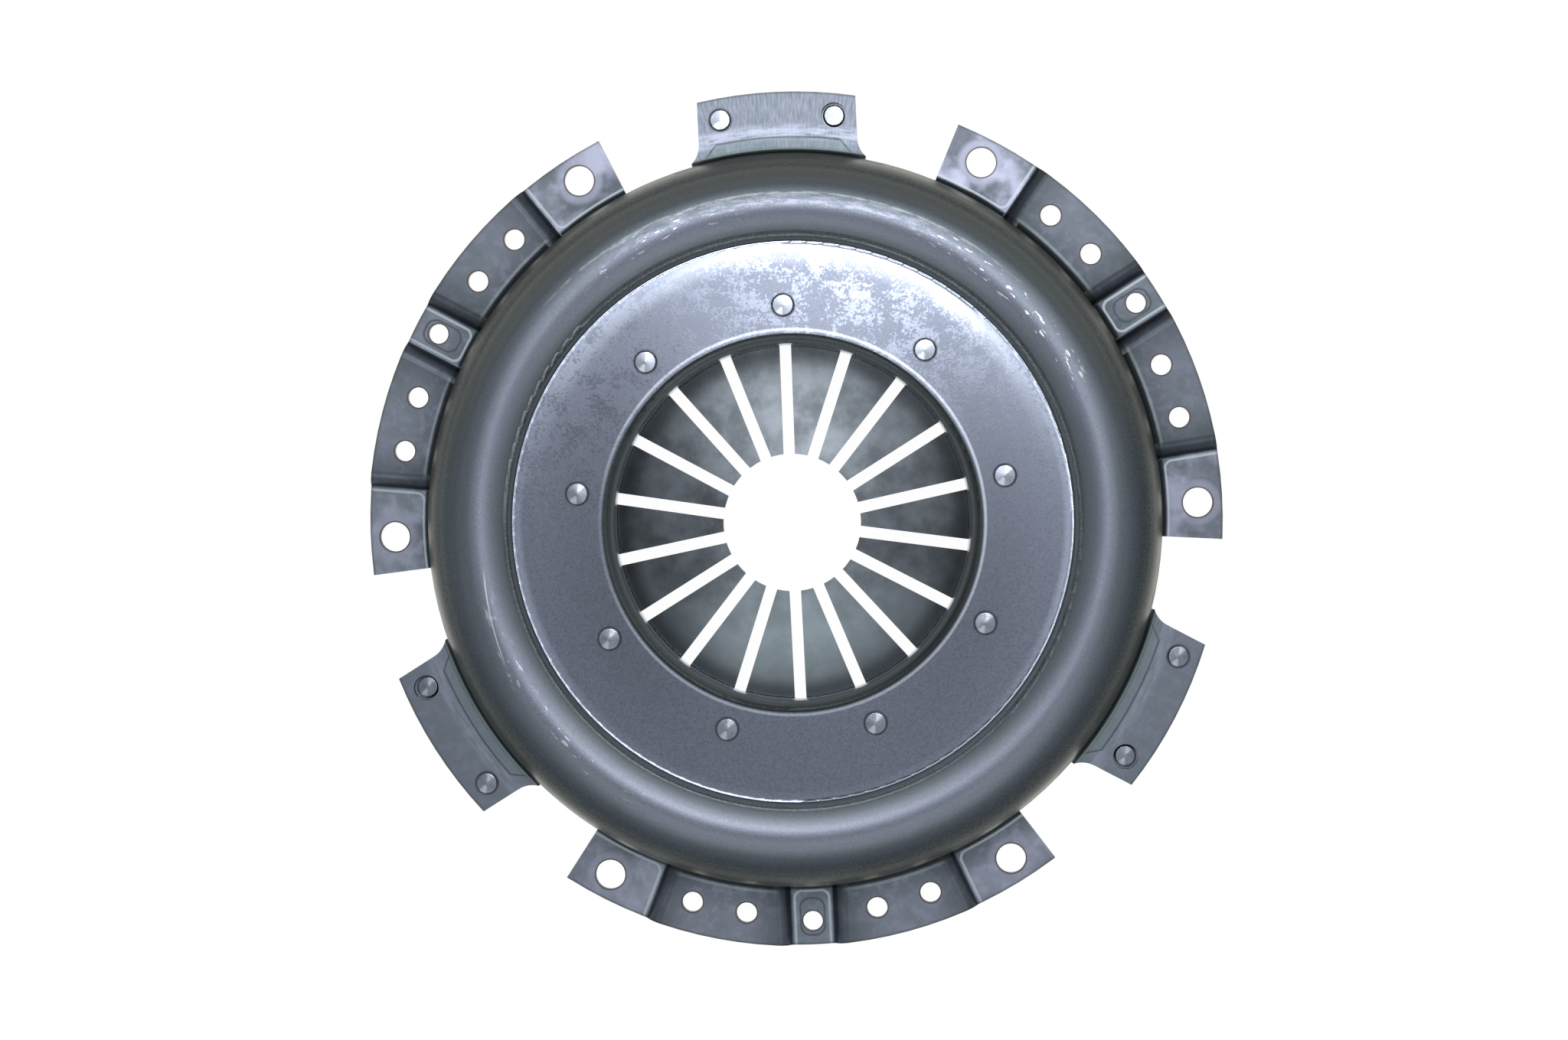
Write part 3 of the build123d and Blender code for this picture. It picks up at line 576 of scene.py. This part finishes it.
def paint_flange(steel, zone):
    """The flange's colour: patina and mottle, then pads, arcs and tabs, then the cut edge.

    It holds painted shade towards the wall and to the far right, painted highlights along the arcs'
    inner edges and the tab roots, partly painted highlight on the pads' borders, and painted light on
    the tabs' streaks on the far side.
    """
    radius, on_tab, to_far = zone.radius, zone.on_tab, zone.to_far
    patina = steel.rise(steel.noise(zone.spot, 0.09, 4.0, 0.6), 0.42, 0.62)
    # Painted shade: the flange darker towards the far right, but not on the tabs
    far_right_shade = steel.rise(zone.x + 2.0 * zone.y, -160.0, 200.0) * (1 - on_tab)
    drawn = steel.noise(steel.vector(radius * 0.25, zone.angle * 3.6, 0.0), 1.0, 4.0, 0.65)
    # Painted highlight along the inner edge of each arc
    arc_edge_highlight = zone.on_arc * steel.band(radius, 113.6, 0.3, 0.4) * 0.35
    rubbed = on_tab * steel.band(radius, 117.8, 1.0, 2.2) * steel.rise(zone.streak, 0.30, 0.60)
    in_band = coined_band(zone)
    # Painted highlight along the root of each tab
    tab_root_highlight = on_tab * steel.band(radius, 112.75, 0.10, 0.30)
    # Darker towards the wall: painted shade under the bowl, fading out towards the rim
    to_rim = steel.rise(radius, 113.5, 123.0)
    return steel.coats(steel.mix(to_rim, (0.085, 0.098, 0.122), (0.140, 0.158, 0.195)), [
        (on_tab, (0.112, 0.130, 0.160)),
        (patina * (0.5 - on_tab * 0.25), (0.095, 0.125, 0.135)),
        (steel.rise(zone.mottle, 0.45, 0.65) * (0.3 - on_tab * 0.15), (0.220, 0.225, 0.310)),
        (far_right_shade * 0.35, (0.030, 0.034, 0.042)),
        # Drawn streaks on the tabs, much brighter on the far side as painted light
        (on_tab * steel.rise(drawn, 0.30, 0.75) * (0.04 + to_far * 0.30), (0.38, 0.41, 0.50)),
        (bolt_smear_and_sheen(steel, zone), (0.40, 0.42, 0.55)),
        (larger(pad_border_burnish_and_highlight(steel, zone), arc_edge_highlight) * 0.6, (0.34, 0.40, 0.43)),
        # Rubbed streaks on the tabs, made brighter towards the far side as painted light
        (rubbed * (0.15 + steel.rise(zone.y, 0.0, 60.0) * 0.4), (0.40, 0.43, 0.55)),
        (on_tab * steel.rise(in_band, 0.0, 0.3) * 0.35, (0.115, 0.160, 0.165)),
        # Painted shade in the fold round the coined band
        (on_tab * steel.band(in_band, 0.0, 0.12, 0.40) * 0.6, (0.035, 0.045, 0.050)),
        (tab_root_highlight * 0.6, (0.34, 0.42, 0.38)),
        (steel.rise(radius, 129.1, 129.7) * 0.5, (0.050, 0.052, 0.045))])


print("flange zones: pads, arcs and tabs, coined band to", tab_band_top, "mm")

# %% [markdown]
# ## Folds, holes and rivet seats
#
# Shade is painted where the sheet is folded: on the ramps, at the ends of the arcs, in the groove at
# the foot of the wall and along the dished dowel pads. A thin dark ring is painted round each
# punched hole as the shade of its wall, and a dark ring round each rivet's head as the shade that
# the head casts. Shades that overlap are joined by multiplying what each of them leaves, so that
# two of them never add up to more than black.


# %% Folds, holes and seats
def fold_shade(steel, zone):
    """Painted shade on ramps, ends of arcs, the groove under the wall and the line round a dowel's dish."""
    ramps = zone.on_flange * steel.rise(zone.z, 3.02, 3.3) * steel.rise(zone.z, 6.7, 4.6)
    arc_ends = zone.on_arc * steel.rise(abs(zone.group - 13.1), 3.0, 8.5)
    groove = steel.band(zone.radius + steel.rise(zone.group, *tab_start) * 0.6, 112.1, 0.6, 0.8)
    dish_length = larger(abs(zone.radius - 121.45) - 2.65, 0.0)
    dish_side = larger(zone.along - 0.7, 0.0)
    dish = (dish_length ** 2 + dish_side ** 2).math("SQRT") - struck_corner
    dish_line = zone.on_pad * steel.band(dish, 0.0, 0.15, 0.40)
    return 1 - (1 - ramps * 0.28) * (1 - groove * 0.68) * (1 - arc_ends * 0.5) * (1 - dish_line * 0.5)


def hole_rim_shade(steel, zone):
    """A thin dark ring round each bolt, dowel and balance hole: painted shade of the hole's wall.

    It comes from the distance to the nearest hole.
    """
    dowel_hole = zone.reach(zone.along, dowel_circle) - dowel_hole_radius
    balance_side = abs(zone.along - zone.arc(balance_angle)) - zone.arc(balance_spread)
    balance_hole = zone.reach(balance_side, balance_circle) - balance_hole_radius
    nearest = zone.bolt_hole.math("MINIMUM", dowel_hole).math("MINIMUM", balance_hole)
    return steel.rise(nearest, 0.55, 0.25)


def rivet_seat_shade(steel, zone):
    """A dark ring round each strap rivet and each fulcrum rivet: painted shade round its head."""
    strap_rivet = zone.reach(zone.along - zone.arc(strap_hole_angle), strap_circle)
    fulcrum_side = fold_angle(zone.angle, fulcrum_first, fulcrum_pitch) * zone.radius * math.radians(1)
    fulcrum_rivet = zone.reach(fulcrum_side, fulcrum_circle)
    return larger(zone.on_tab * steel.rise(strap_rivet, 4.0, 3.5), steel.rise(fulcrum_rivet, 4.0, 3.6))


print("rims round holes of", 2 * bolt_hole_radius, 2 * dowel_hole_radius, 2 * balance_hole_radius, "mm")

# %% [markdown]
# ## Relief and the finished steel
#
# Polish shows in the roughness: the plateau is smoother than the flange, and frosted in patches
# where the phosphate took. Very shallow relief is given as a height in millimetres through a Bump
# node: the roll-off of the plateau's edge, its faint crown and the grain. Real geometry for
# hundredths of a millimetre would need millions of faces and would look the same.


# %% Cover finish
def plateau_form(steel, zone):
    """Height that softens the plateau's rolled edge and gives its far side a faint crown."""
    crown = larger(zone.radius - 80.5, 0.0)
    rolled = larger(zone.radius - 83.2, 0.0).math("MINIMUM", 1.1) ** 2
    crowned = 0.017 * crown * crown * steel.rise(zone.y, -30.0, 50.0)
    return zone.on_plateau * (rolled * (0.42 + 0.35 * rolled) - crowned)


def make_cover_finish():
    """Phosphated sheet steel with zones set by radius, angle and height.

    Its painted light and shade also follow the side of the part.
    """
    steel = Finish("phosphated_cover_steel")
    zone = CoverZones(steel)
    colour = steel.coats(paint_bead(steel, zone), [
        (zone.on_plateau, paint_plateau(steel, zone)),
        (zone.on_flange, paint_flange(steel, zone)),
        # Painted shade in folds, round holes and round rivet heads
        (fold_shade(steel, zone), (0.022, 0.029, 0.028)),
        (hole_rim_shade(steel, zone) * 0.85, (0.060, 0.045, 0.040)),
        (rivet_seat_shade(steel, zone) * 0.45, (0.024, 0.026, 0.030))])
    speck = steel.noise(zone.spot, 1.1, 2.0, 0.6)
    frost = steel.rise(steel.noise(zone.spot, 0.16, 6.0, 0.72) + (speck - 0.5) * 0.5, 0.47, 0.57)
    polish = 0.07 + frost * steel.rise(zone.y, -10.0, 50.0) * 0.09 - (zone.grain - 0.5) * 0.18
    rough = 0.36 + zone.on_flange * 0.04 - zone.on_plateau * polish - zone.nicks * 0.1
    height = plateau_form(steel, zone) + 0.004 * zone.on_plateau * zone.grain + 0.008 * zone.mottle
    return steel.metal(colour, rough, height, 0.92)


cover_finish = make_cover_finish()
nodes["cover"].data.materials[0] = cover_finish
print("cover nodes in its material:", len(cover_finish.node_tree.nodes))

# %% [markdown]
# ## Surfaces from numbers
#
# The small parts could be kept as the CAD model has them, but they bend as the plate lifts or need
# rounder edges, so they are worked out again. Each is a grid of points that one formula fills at
# once: a section carried along a path, or an outline turned about an axis. One helper turns such
# grids into a closed mesh, and merges the points that neighbouring grids share.


# %% From grids to meshes
def surface(name, patches, sharp=32.0, merge=2e-6):
    """Joins grids of points in millimetres, shaped [..., row, column, 3], into a mesh in metres.

    Four neighbours in a grid make a face. Points that meet merge, and faces are turned outwards.
    """
    points, faces, count = [], [], 0
    for patch in patches:
        rows, columns = patch.shape[-3:-1]
        grids = patch.reshape(-1, rows, columns, 3)
        index = count + np.arange(grids.shape[0] * rows * columns).reshape(-1, rows, columns)
        corners = (index[:, :-1, :-1], index[:, 1:, :-1], index[:, 1:, 1:], index[:, :-1, 1:])
        faces.append(np.stack(corners, axis=-1).reshape(-1, 4))
        points.append(grids.reshape(-1, 3) * 0.001)
        count += index.size
    mesh = bpy.data.meshes.new(name)
    mesh.from_pydata(np.concatenate(points).tolist(), [], np.concatenate(faces).tolist())
    shell = bmesh.new()
    shell.from_mesh(mesh)
    bmesh.ops.remove_doubles(shell, verts=shell.verts, dist=merge)
    bmesh.ops.dissolve_degenerate(shell, edges=shell.edges, dist=merge)
    bmesh.ops.recalc_face_normals(shell, faces=shell.faces)
    open_edges = sum(not edge.is_manifold for edge in shell.edges)
    shell.to_mesh(mesh)
    shell.free()
    mesh.shade_smooth()
    mesh.set_sharp_from_angle(angle=math.radians(sharp))
    made = bpy.data.objects.new(name, mesh)
    bpy.context.scene.collection.objects.link(made)
    print(name, len(mesh.polygons), "faces,", open_edges, "open edges")
    return made


def dress(piece, body, node_name, finish):
    """Lets a piece stand for a node of the model, ride on its body and wear a finish."""
    piece.data.materials.append(finish)
    if body:
        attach(piece, body)
    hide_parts(node_name)
    return piece


def polar_points(radius, angle, height):
    """Points at a radius, an angle in degrees and a height, for arrays that fit together."""
    radius, angle, height = np.broadcast_arrays(radius, np.radians(angle), height)
    return np.stack((radius * np.cos(angle), radius * np.sin(angle), height), axis=-1)


print("mesh helpers are ready")

# %% [markdown]
# ## The coned spring
#
# A diaphragm spring is blanked from spring steel, coned, hardened and blasted. Its slots have
# straight, parallel sides and end in eyelets, so a finger's width in degrees is its share of the
# circle less the angle that half a slot takes on each side at that radius. With that formula one
# grid gives a finger. Where the slot's width falls to nothing the fingers meet and become the rim.

# %% Spring
spring_thickness, spring_radius, tip_radius = 2.3, 92.0, 20.6
cone_slope = math.radians(11.5)
pivot_radius, pivot_height = 70.5, 20.3739
finger_count, slot_half = 18, 1.75
eyelet_radius, eyelet_half_length, eyelet_half_width = fulcrum_circle, 5.0, 4.5
eyelet_rows_count, finger_rows_count, rim_rows_count, points_across = 27, 24, 9, 11
edge_break = 0.25


def slot_half_width(radius):
    """Half of the gap between fingers: a slot's, then an eyelet's rounded box, then nothing."""
    reach = np.clip(1 - np.abs((radius - eyelet_radius) / eyelet_half_length) ** 3, 0, 1) ** (1 / 3)
    eyelet = eyelet_half_width * reach
    return np.where(radius < eyelet_radius, np.maximum(eyelet, slot_half), eyelet)


def make_spring():
    """Fingers and rim of the cone: height falls from the tips by the tangent of the cone's slope."""
    swing = np.linspace(np.pi, 0, eyelet_rows_count)
    eyelet_rows = eyelet_radius + eyelet_half_length * np.cos(swing)
    inner_rows = np.linspace(tip_radius, eyelet_rows[0], finger_rows_count)[:-1]
    outer_rows = np.linspace(eyelet_rows[-1], spring_radius, rim_rows_count)[1:]
    rows = np.concatenate((inner_rows, eyelet_rows, outer_rows))
    half_angle = 180 / finger_count - np.degrees(np.arcsin(slot_half_width(rows) / rows))
    share = np.linspace(-1, 1, points_across)
    middles = 90 + (np.arange(finger_count) + 0.5) * 360 / finger_count
    angle = middles[:, None, None] + half_angle[:, None] * share
    top = pivot_height + (pivot_radius - rows[:, None]) * math.tan(cone_slope)
    under = top - spring_thickness / math.cos(cone_slope)
    upper = polar_points(rows[:, None], angle, top)
    lower = polar_points(rows[:, None], angle, under)
    split = len(inner_rows) + len(eyelet_rows)
    walls = [np.stack((upper[:, :split, side], lower[:, :split, side]), axis=-2) for side in (0, -1)]
    ends = [np.stack((upper[:, row], lower[:, row]), axis=-2) for row in (0, -1)]
    spring = surface("coned_spring", [upper, lower, *walls, *ends])
    edge = spring.modifiers.new("broken_edges", "BEVEL")
    edge.width, edge.segments = edge_break / 1000, 2
    edge.limit_method, edge.angle_limit = "ANGLE", math.radians(50)
    return spring


coned_spring = make_spring()

# %% [markdown]
# ## Wire rings
#
# Two hard-drawn wires, bent to rings, carry the spring between them like a hinge. A torus would
# close the ring; the real one has a gap where the wire's ends meet. So a circle is carried along
# an arc, and it shrinks to a point at each end, which rounds the wire's ends.

# %% Wires
wire_radius, wire_gap, wire_end = 2.25, 2.0, 0.6
upper_wire_height, lower_wire_height = 22.71, 15.6907
end_rows_count, wire_rows_count, points_round = 7, 241, 25


def make_wire(name, height, gap_angle):
    """A circle carried round an arc. At the ends it shrinks as a quarter circle does."""
    turn = 360 - math.degrees(wire_gap / pivot_radius)
    round_off = np.linspace(0, np.pi / 2, end_rows_count)
    end_turn = math.degrees(wire_end / pivot_radius)
    inset = end_turn * (1 - np.sin(round_off))
    size = np.concatenate((np.sin(round_off), np.ones(wire_rows_count - 2), np.sin(round_off[::-1])))
    start = gap_angle + end_turn - inset
    stop = gap_angle + turn - end_turn + inset[::-1]
    along = np.concatenate((start, np.linspace(start[-1], stop[0], wire_rows_count)[1:-1], stop))
    round_section = np.linspace(0, 2 * np.pi, points_round)
    reach = wire_radius * size[:, None]
    return surface(name, [polar_points(pivot_radius + reach * np.cos(round_section), along[:, None],
                                       height + reach * np.sin(round_section))])


upper_wire = make_wire("upper_hinge_wire", upper_wire_height, 110.0)
lower_wire = make_wire("lower_hinge_wire", lower_wire_height, 230.0)

# %% [markdown]
# ## Rivets
#
# Each rivet is turned, so its outline is all it needs: half of its section, spun about its own
# axis. Corners are rounded with short curves, because a true edge always catches a line of light.
# The distance to the rivet's axis is stored as an attribute, from which the finish paints shade on
# the rim. Turned faces mirror a lamp in two bright fans, which are painted as highlights, so a
# second attribute says how near a point is to them.

# %% Rivets
arc_steps, spin_steps = 5, 72
# Direction of the painted highlight fans on the rivet heads
fan_angle = math.radians(62.0)
ring_pitch, ring_depth, ring_rows = 0.36, 0.0014, 43
print("tool rings:", ring_pitch, "mm apart,", ring_depth, "mm deep")


def rounded(corners):
    """An outline through corners of (x, y, radius), each corner rounded by about that radius.

    Each curve is a parabola from one tangent point to the other, pulled towards the corner.
    """
    corners = np.array(corners, float)
    here, radius = corners[1:-1, :2], corners[1:-1, 2]
    before, after = corners[:-2, :2] - here, corners[2:, :2] - here
    before /= np.linalg.norm(before, axis=1)[:, None]
    after /= np.linalg.norm(after, axis=1)[:, None]
    half = np.arccos(np.clip((before * after).sum(1), -1, 1)) / 2
    tangent = radius / np.tan(half)
    share = np.linspace(0, 1, arc_steps)[None, :, None]
    first, last = here + before * tangent[:, None], here + after * tangent[:, None]
    bow = first[:, None] * (1 - share) ** 2 + 2 * here[:, None] * share * (1 - share)
    bow = bow + last[:, None] * share ** 2
    return np.concatenate((corners[:1, :2], bow.reshape(-1, 2), corners[-1:, :2]))


def with_rings(outline):
    """Cuts the tool's rings into the face, as a cosine of the distance from the axis."""
    across = np.linspace(outline[0, 0], outline[1, 0], ring_rows)
    height = np.interp(across, outline[:2, 0], outline[:2, 1])
    rings = ring_depth * (np.cos(2 * np.pi * across / ring_pitch) - 1)
    return np.concatenate((np.stack((across, height + rings), axis=-1), outline[2:]))


def make_turned(name, radius, angle, corners):
    """Spins an outline of (distance from the rivet's axis, height) about a vertical axis."""
    outline = with_rings(rounded(corners))
    spin = np.linspace(0, 2 * np.pi, spin_steps + 1)
    centre = polar_points(radius, angle, 0.0)
    ring = np.stack((np.cos(spin), np.sin(spin), np.zeros_like(spin)), axis=-1)
    lift = outline[:, 1, None, None] * np.array((0, 0, 1.0))
    piece = surface(name, [centre + outline[:, 0, None, None] * ring + lift])
    place = np.empty(3 * len(piece.data.vertices), np.float32)
    piece.data.vertices.foreach_get("co", place)
    reach = 1000 * place.reshape(-1, 3)[:, :2] - centre[:2]
    off_axis = np.hypot(*reach.T)
    # How near each point lies to the two painted highlight fans
    fan = np.cos(2 * (np.arctan2(reach[:, 1], reach[:, 0]) - fan_angle)) * np.minimum(off_axis, 1.0)
    for title, values in (("turning", off_axis), ("fan", fan)):
        stored = piece.data.attributes.new(title, "FLOAT", "POINT")
        stored.data.foreach_set("value", values.astype(np.float32))
    return piece


# %% [markdown]
# ## Three kinds of rivet
#
# Nine stepped rivets carry the spring's hinge, three hold the strap packs to the cover and three
# hold them to the plate's lugs. A rivet's table of corners is its drawing: distance from its axis,
# height and rounding of each corner, from the middle of the head down to the middle of the foot.

# %% Turn the rivets
fulcrum_corners = [(0, 29.10, 0), (3.0, 29.00, 0.35), (3.5, 28.7, 0.3), (3.5, 28.0, 0), (2.5, 28.0, 0),
                   (2.5, 25.0, 0), (3.0, 25.0, 0.05), (3.0, 13.4, 0), (6.2, 13.4, 0.3), (6.4, 13.1, 0.2),
                   (6.4, 11.4, 0.4), (6.0, 11.0, 0.3), (0, 11.0, 0)]
cover_pin_corners = [(0, 10.20, 0), (2.9, 10.10, 0.35), (3.35, 9.8, 0.3), (3.35, 9.0, 0), (2.4, 9.0, 0),
                     (2.4, 4.2, 0), (3.7, 4.2, 0.2), (3.8, 2.9, 0.3), (3.5, 2.6, 0.3), (0, 2.6, 0)]
lug_pin_corners = [(0, 5.00, 0), (2.9, 4.90, 0.35), (3.35, 4.6, 0.3), (3.35, 2.4, 0), (2.4, 2.4, 0),
                   (2.4, -6.0, 0), (3.7, -6.0, 0.2), (3.8, -7.3, 0.3), (3.5, -7.6, 0.3), (0, -7.6, 0)]
strap_turn = 8.02
rivets = []


def tab_angle(number):
    """Degrees to the middle of a strap tab. The first tab lies on +Y."""
    return group_pitch * number + group_middle - tab_middle


for number in range(1, 10):
    turn = fulcrum_first + fulcrum_pitch * (number + 1)
    rivet = make_turned(f"turned_fulcrum_rivet_{number}", fulcrum_circle, turn, fulcrum_corners)
    rivets.append((rivet, "cover_body", f"fulcrum_rivet_{number}"))
for number in (1, 2, 3):
    tab = tab_angle(number)
    rivet = make_turned(f"turned_strap_rivet_{number}", strap_circle, tab + strap_turn, cover_pin_corners)
    rivets.append((rivet, "cover_body", f"cover_strap_rivet_{number}"))
    rivet = make_turned(f"turned_lug_rivet_{number}", strap_circle, tab - strap_turn, lug_pin_corners)
    rivets.append((rivet, "plate_body", f"lug_rivet_{number}"))
print(len(rivets), "rivets turned")

# %% [markdown]
# ## Strap leaves
#
# Three thin leaves under each tab carry the plate: they take the engine's turning force and let the
# plate rise. Each leaf is cranked by two equal arcs that meet halfway. A grid along and across the
# leaf gives its height from those arcs and its width from a stadium's outline.

# %% Strap leaves
leaf_half_pitch, leaf_half_width, leaf_thickness, leaf_radial = 17.2166, 6.5, 0.56, 122.1931
crank_half_span, crank_drop = 10.0, 3.6
crank_radius = (4 * crank_half_span ** 2 + crank_drop ** 2) / (4 * crank_drop)
top_leaf_height, leaf_pitch, blend_height = 6.0, 0.6, 4.0
end_points, run_points, width_points = 10, 41, 9


def crank(along):
    """Height of the crank: an arc up from the flat lug end, then the same arc upside down."""
    reach = np.clip(crank_half_span - np.abs(along), 0, None)
    bow = crank_radius - np.sqrt(crank_radius ** 2 - reach ** 2)
    return np.where(along < 0, bow, crank_drop - bow) - crank_drop


def make_leaf(name, tab, top):
    """Length runs along the chord under a tab, width across it. Half discs close the two ends."""
    swing = np.linspace(0, np.pi / 2, end_points)
    tip = leaf_half_pitch + leaf_half_width * np.cos(swing)
    run = np.linspace(-leaf_half_pitch, leaf_half_pitch, run_points)[1:-1]
    along = np.concatenate((-tip, run, tip[::-1]))
    half = leaf_half_width * np.concatenate((np.sin(swing), np.ones(len(run)), np.sin(swing[::-1])))
    turn = math.radians(tab)
    outwards = np.array((math.cos(turn), math.sin(turn), 0))
    onwards = np.array((-math.sin(turn), math.cos(turn), 0))
    across = leaf_radial + half[:, None] * np.linspace(-1, 1, width_points)
    upper = across[..., None] * outwards + along[:, None, None] * onwards
    upper = upper + (top + crank(along))[:, None, None] * np.array((0, 0, 1.0))
    lower = upper - np.array((0, 0, leaf_thickness))
    walls = [np.stack((upper[:, side], lower[:, side]), axis=-2) for side in (0, -1)]
    leaf = surface(name, [upper, lower, *walls])
    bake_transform(leaf)
    return leaf


leaves = []
for number in (1, 2, 3):
    for layer, level in enumerate(("upper", "middle", "lower")):
        top = top_leaf_height - leaf_pitch * layer
        leaf = make_leaf(f"strap_{number}_{level}_spring", tab_angle(number), top)
        leaves.append((leaf, None, f"strap_{number}_{level}_leaf"))
print(len(leaves), "leaves, crank radius", round(crank_radius, 2), "mm")

# %% [markdown]
# ## Steel of the spring and the wires
#
# Spring steel comes out of its oil quench smoky, with clouds that no two fingers share, and the
# release bearing rubs its finger tips. Over that the spring takes painted light on the near fingers,
# painted shade on the fingers to the left and right, and painted shadow where the cover's lip
# overhangs them. The wires are drawn through a die, which leaves faint lines along them. Noise makes
# both: even noise for the clouds, and for the lines a noise that changes fast with the radius and
# hardly at all with the angle.


# %% Spring and wire steel
def make_spring_finish():
    """Quenched and blasted spring steel, smoky, with rubbed finger tips.

    It also holds painted light on the near side, painted shade to the left and right and painted
    shadow under the cover's lip.
    """
    steel = Finish("quenched_spring_steel")
    spot, x, y, _ = steel.place()
    radius, _ = polar(steel, x, y)
    smoke = steel.noise(spot, 0.10, 5.0, 0.6)
    grain = steel.noise(spot, 2.2, 3.0, 0.7)
    clouds = steel.mix(steel.rise(smoke, 0.30, 0.70), (0.105, 0.120, 0.135), (0.235, 0.265, 0.300))
    rub = steel.band(radius, 25.0, 2.0, 2.5) * steel.rise(grain, 0.45, 0.8)
    colour = steel.coats(clouds, [
        (rub * 0.20, (0.36, 0.40, 0.44)),
        # Painted light on the fingers on the near side
        (steel.rise(y, -8.0, -34.0) * 0.45, (0.250, 0.310, 0.340)),
        # Painted shade on the fingers to the left and right
        (steel.rise(abs(x + 3.0), 8.0, 36.0) * 0.45, (0.030, 0.034, 0.040)),
        # Painted shadow of the cover's lip, growing out towards the lip
        (steel.rise(radius, 37.0, 53.0) * 0.6, (0.030, 0.036, 0.042)),
        (steel.rise(radius, 46.0, 51.5) * 0.6, (0.010, 0.012, 0.014))])
    return steel.metal(colour, 0.36 + 0.12 * (smoke - 0.5), 0.006 * grain, 0.9)


def make_wire_finish():
    """Drawn wire: bright, with faint lines along it."""
    steel = Finish("drawn_wire_steel")
    _, x, y, z = steel.place()
    radius, angle = polar(steel, x, y)
    lines = steel.noise(steel.vector(radius * 4.0, angle * 0.05, z * 4.0), 1.0, 3.0)
    colour = steel.mix(lines, (0.30, 0.30, 0.31), (0.50, 0.50, 0.50))
    return steel.metal(colour, 0.28 + 0.1 * lines, 0.003 * lines)


spring_finish, wire_finish = make_spring_finish(), make_wire_finish()
print("made", spring_finish.name, "and", wire_finish.name)

# %% [markdown]
# ## Steel of the rivets and the straps
#
# A turned face mirrors a lamp in two fans, because its rings run round the axis. The fans are
# painted from the attribute that was stored with each rivet, since rings this fine are smaller than
# a pixel. The straps are rolled strip, which is nearly plain.


# %% Rivet and strap steel
def make_rivet_finish():
    """Turned steel: painted shade on the rim from the turning attribute, and painted highlights from the fan
    one.
    """
    steel = Finish("turned_rivet_steel")
    spot = steel.place()[0]
    off_axis = steel.node("ShaderNodeAttribute", {"attribute_name": "turning"}).out("Fac")
    fan = steel.node("ShaderNodeAttribute", {"attribute_name": "fan"}).out("Fac")
    stain = steel.noise(spot, 0.5, 3.0)
    colour = steel.mix(stain, (0.13, 0.15, 0.18), (0.24, 0.26, 0.31))
    # Painted highlight in two fans
    colour = steel.mix(steel.rise(fan, 0.45, 1.0) * 0.5, colour, (0.60, 0.62, 0.70))
    # Painted shade on the rim of the head
    rim = steel.rise(off_axis, 3.05, 3.3)
    colour = steel.mix(rim * 0.5, colour, (0.06, 0.06, 0.07))
    return steel.metal(colour, 0.22 + 0.10 * stain + rim * 0.3)


def make_strap_finish():
    """Rolled spring strip with a blue-grey cast."""
    steel = Finish("rolled_strap_steel")
    spot = steel.place()[0]
    cloud = steel.noise(spot, 0.15, 3.0)
    grain = steel.noise(spot, 2.5, 2.0)
    colour = steel.mix(cloud, (0.20, 0.225, 0.27), (0.34, 0.36, 0.41))
    return steel.metal(colour, 0.32 + 0.1 * grain, 0.003 * grain)


rivet_finish, strap_finish = make_rivet_finish(), make_strap_finish()
print("made", rivet_finish.name, "and", strap_finish.name)

# %% [markdown]
# ## Cast iron
#
# The plate is cast in sand, so its skin is dark and grainy, and its friction face is ground where
# it meets the disc. One mask over the height parts the two. Rings are the grinder's marks.


# %% Cast iron
def make_iron_finish():
    """Cast iron: a sandy skin, and turned rings on the ground friction face and the rim."""
    iron = Finish("cast_iron")
    spot, x, y, z = iron.place()
    radius, angle = polar(iron, x, y)
    ground = iron.rise(z, -8.0, -8.6)
    sand = iron.noise(spot, 1.1, 4.0, 0.7)
    cloud = iron.noise(spot, 0.08, 3.0)
    rings = iron.noise(iron.vector(radius * 3.0, angle * 0.02, 0.0), 1.0, 3.0, 0.7)
    skin = iron.mix(cloud, (0.085, 0.085, 0.085), (0.150, 0.150, 0.155))
    face = iron.mix(rings, (0.36, 0.36, 0.37), (0.56, 0.56, 0.56))
    colour = iron.mix(ground, skin, face)
    rough = 0.62 - 0.30 * ground + 0.1 * (sand - 0.5)
    height = 0.05 * sand * (1 - ground) + 0.006 * rings * ground
    return iron.metal(colour, rough, height, 0.85)


iron_finish = make_iron_finish()
nodes["pressure_plate"].data.materials[0] = iron_finish
print("made", iron_finish.name)

# %% [markdown]
# ## Dress the pieces
#
# Each new piece now takes the place of its node, rides on the body that carries it and gets its
# steel. The real spring flattens when the clutch disc pushes the plate back.

# %% Dress the pieces
dress(coned_spring, "cover_body", "diaphragm_spring", spring_finish)
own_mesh(coned_spring)
dress(upper_wire, "cover_body", "upper_wire_ring", wire_finish)
dress(lower_wire, "cover_body", "lower_wire_ring", wire_finish)
for rivet, body, node_name in rivets:
    dress(rivet, body, node_name, rivet_finish)
for leaf, body, node_name in leaves:
    dress(leaf, body, node_name, strap_finish)
print("finishes:", [m.name for m in bpy.data.materials if m.users])
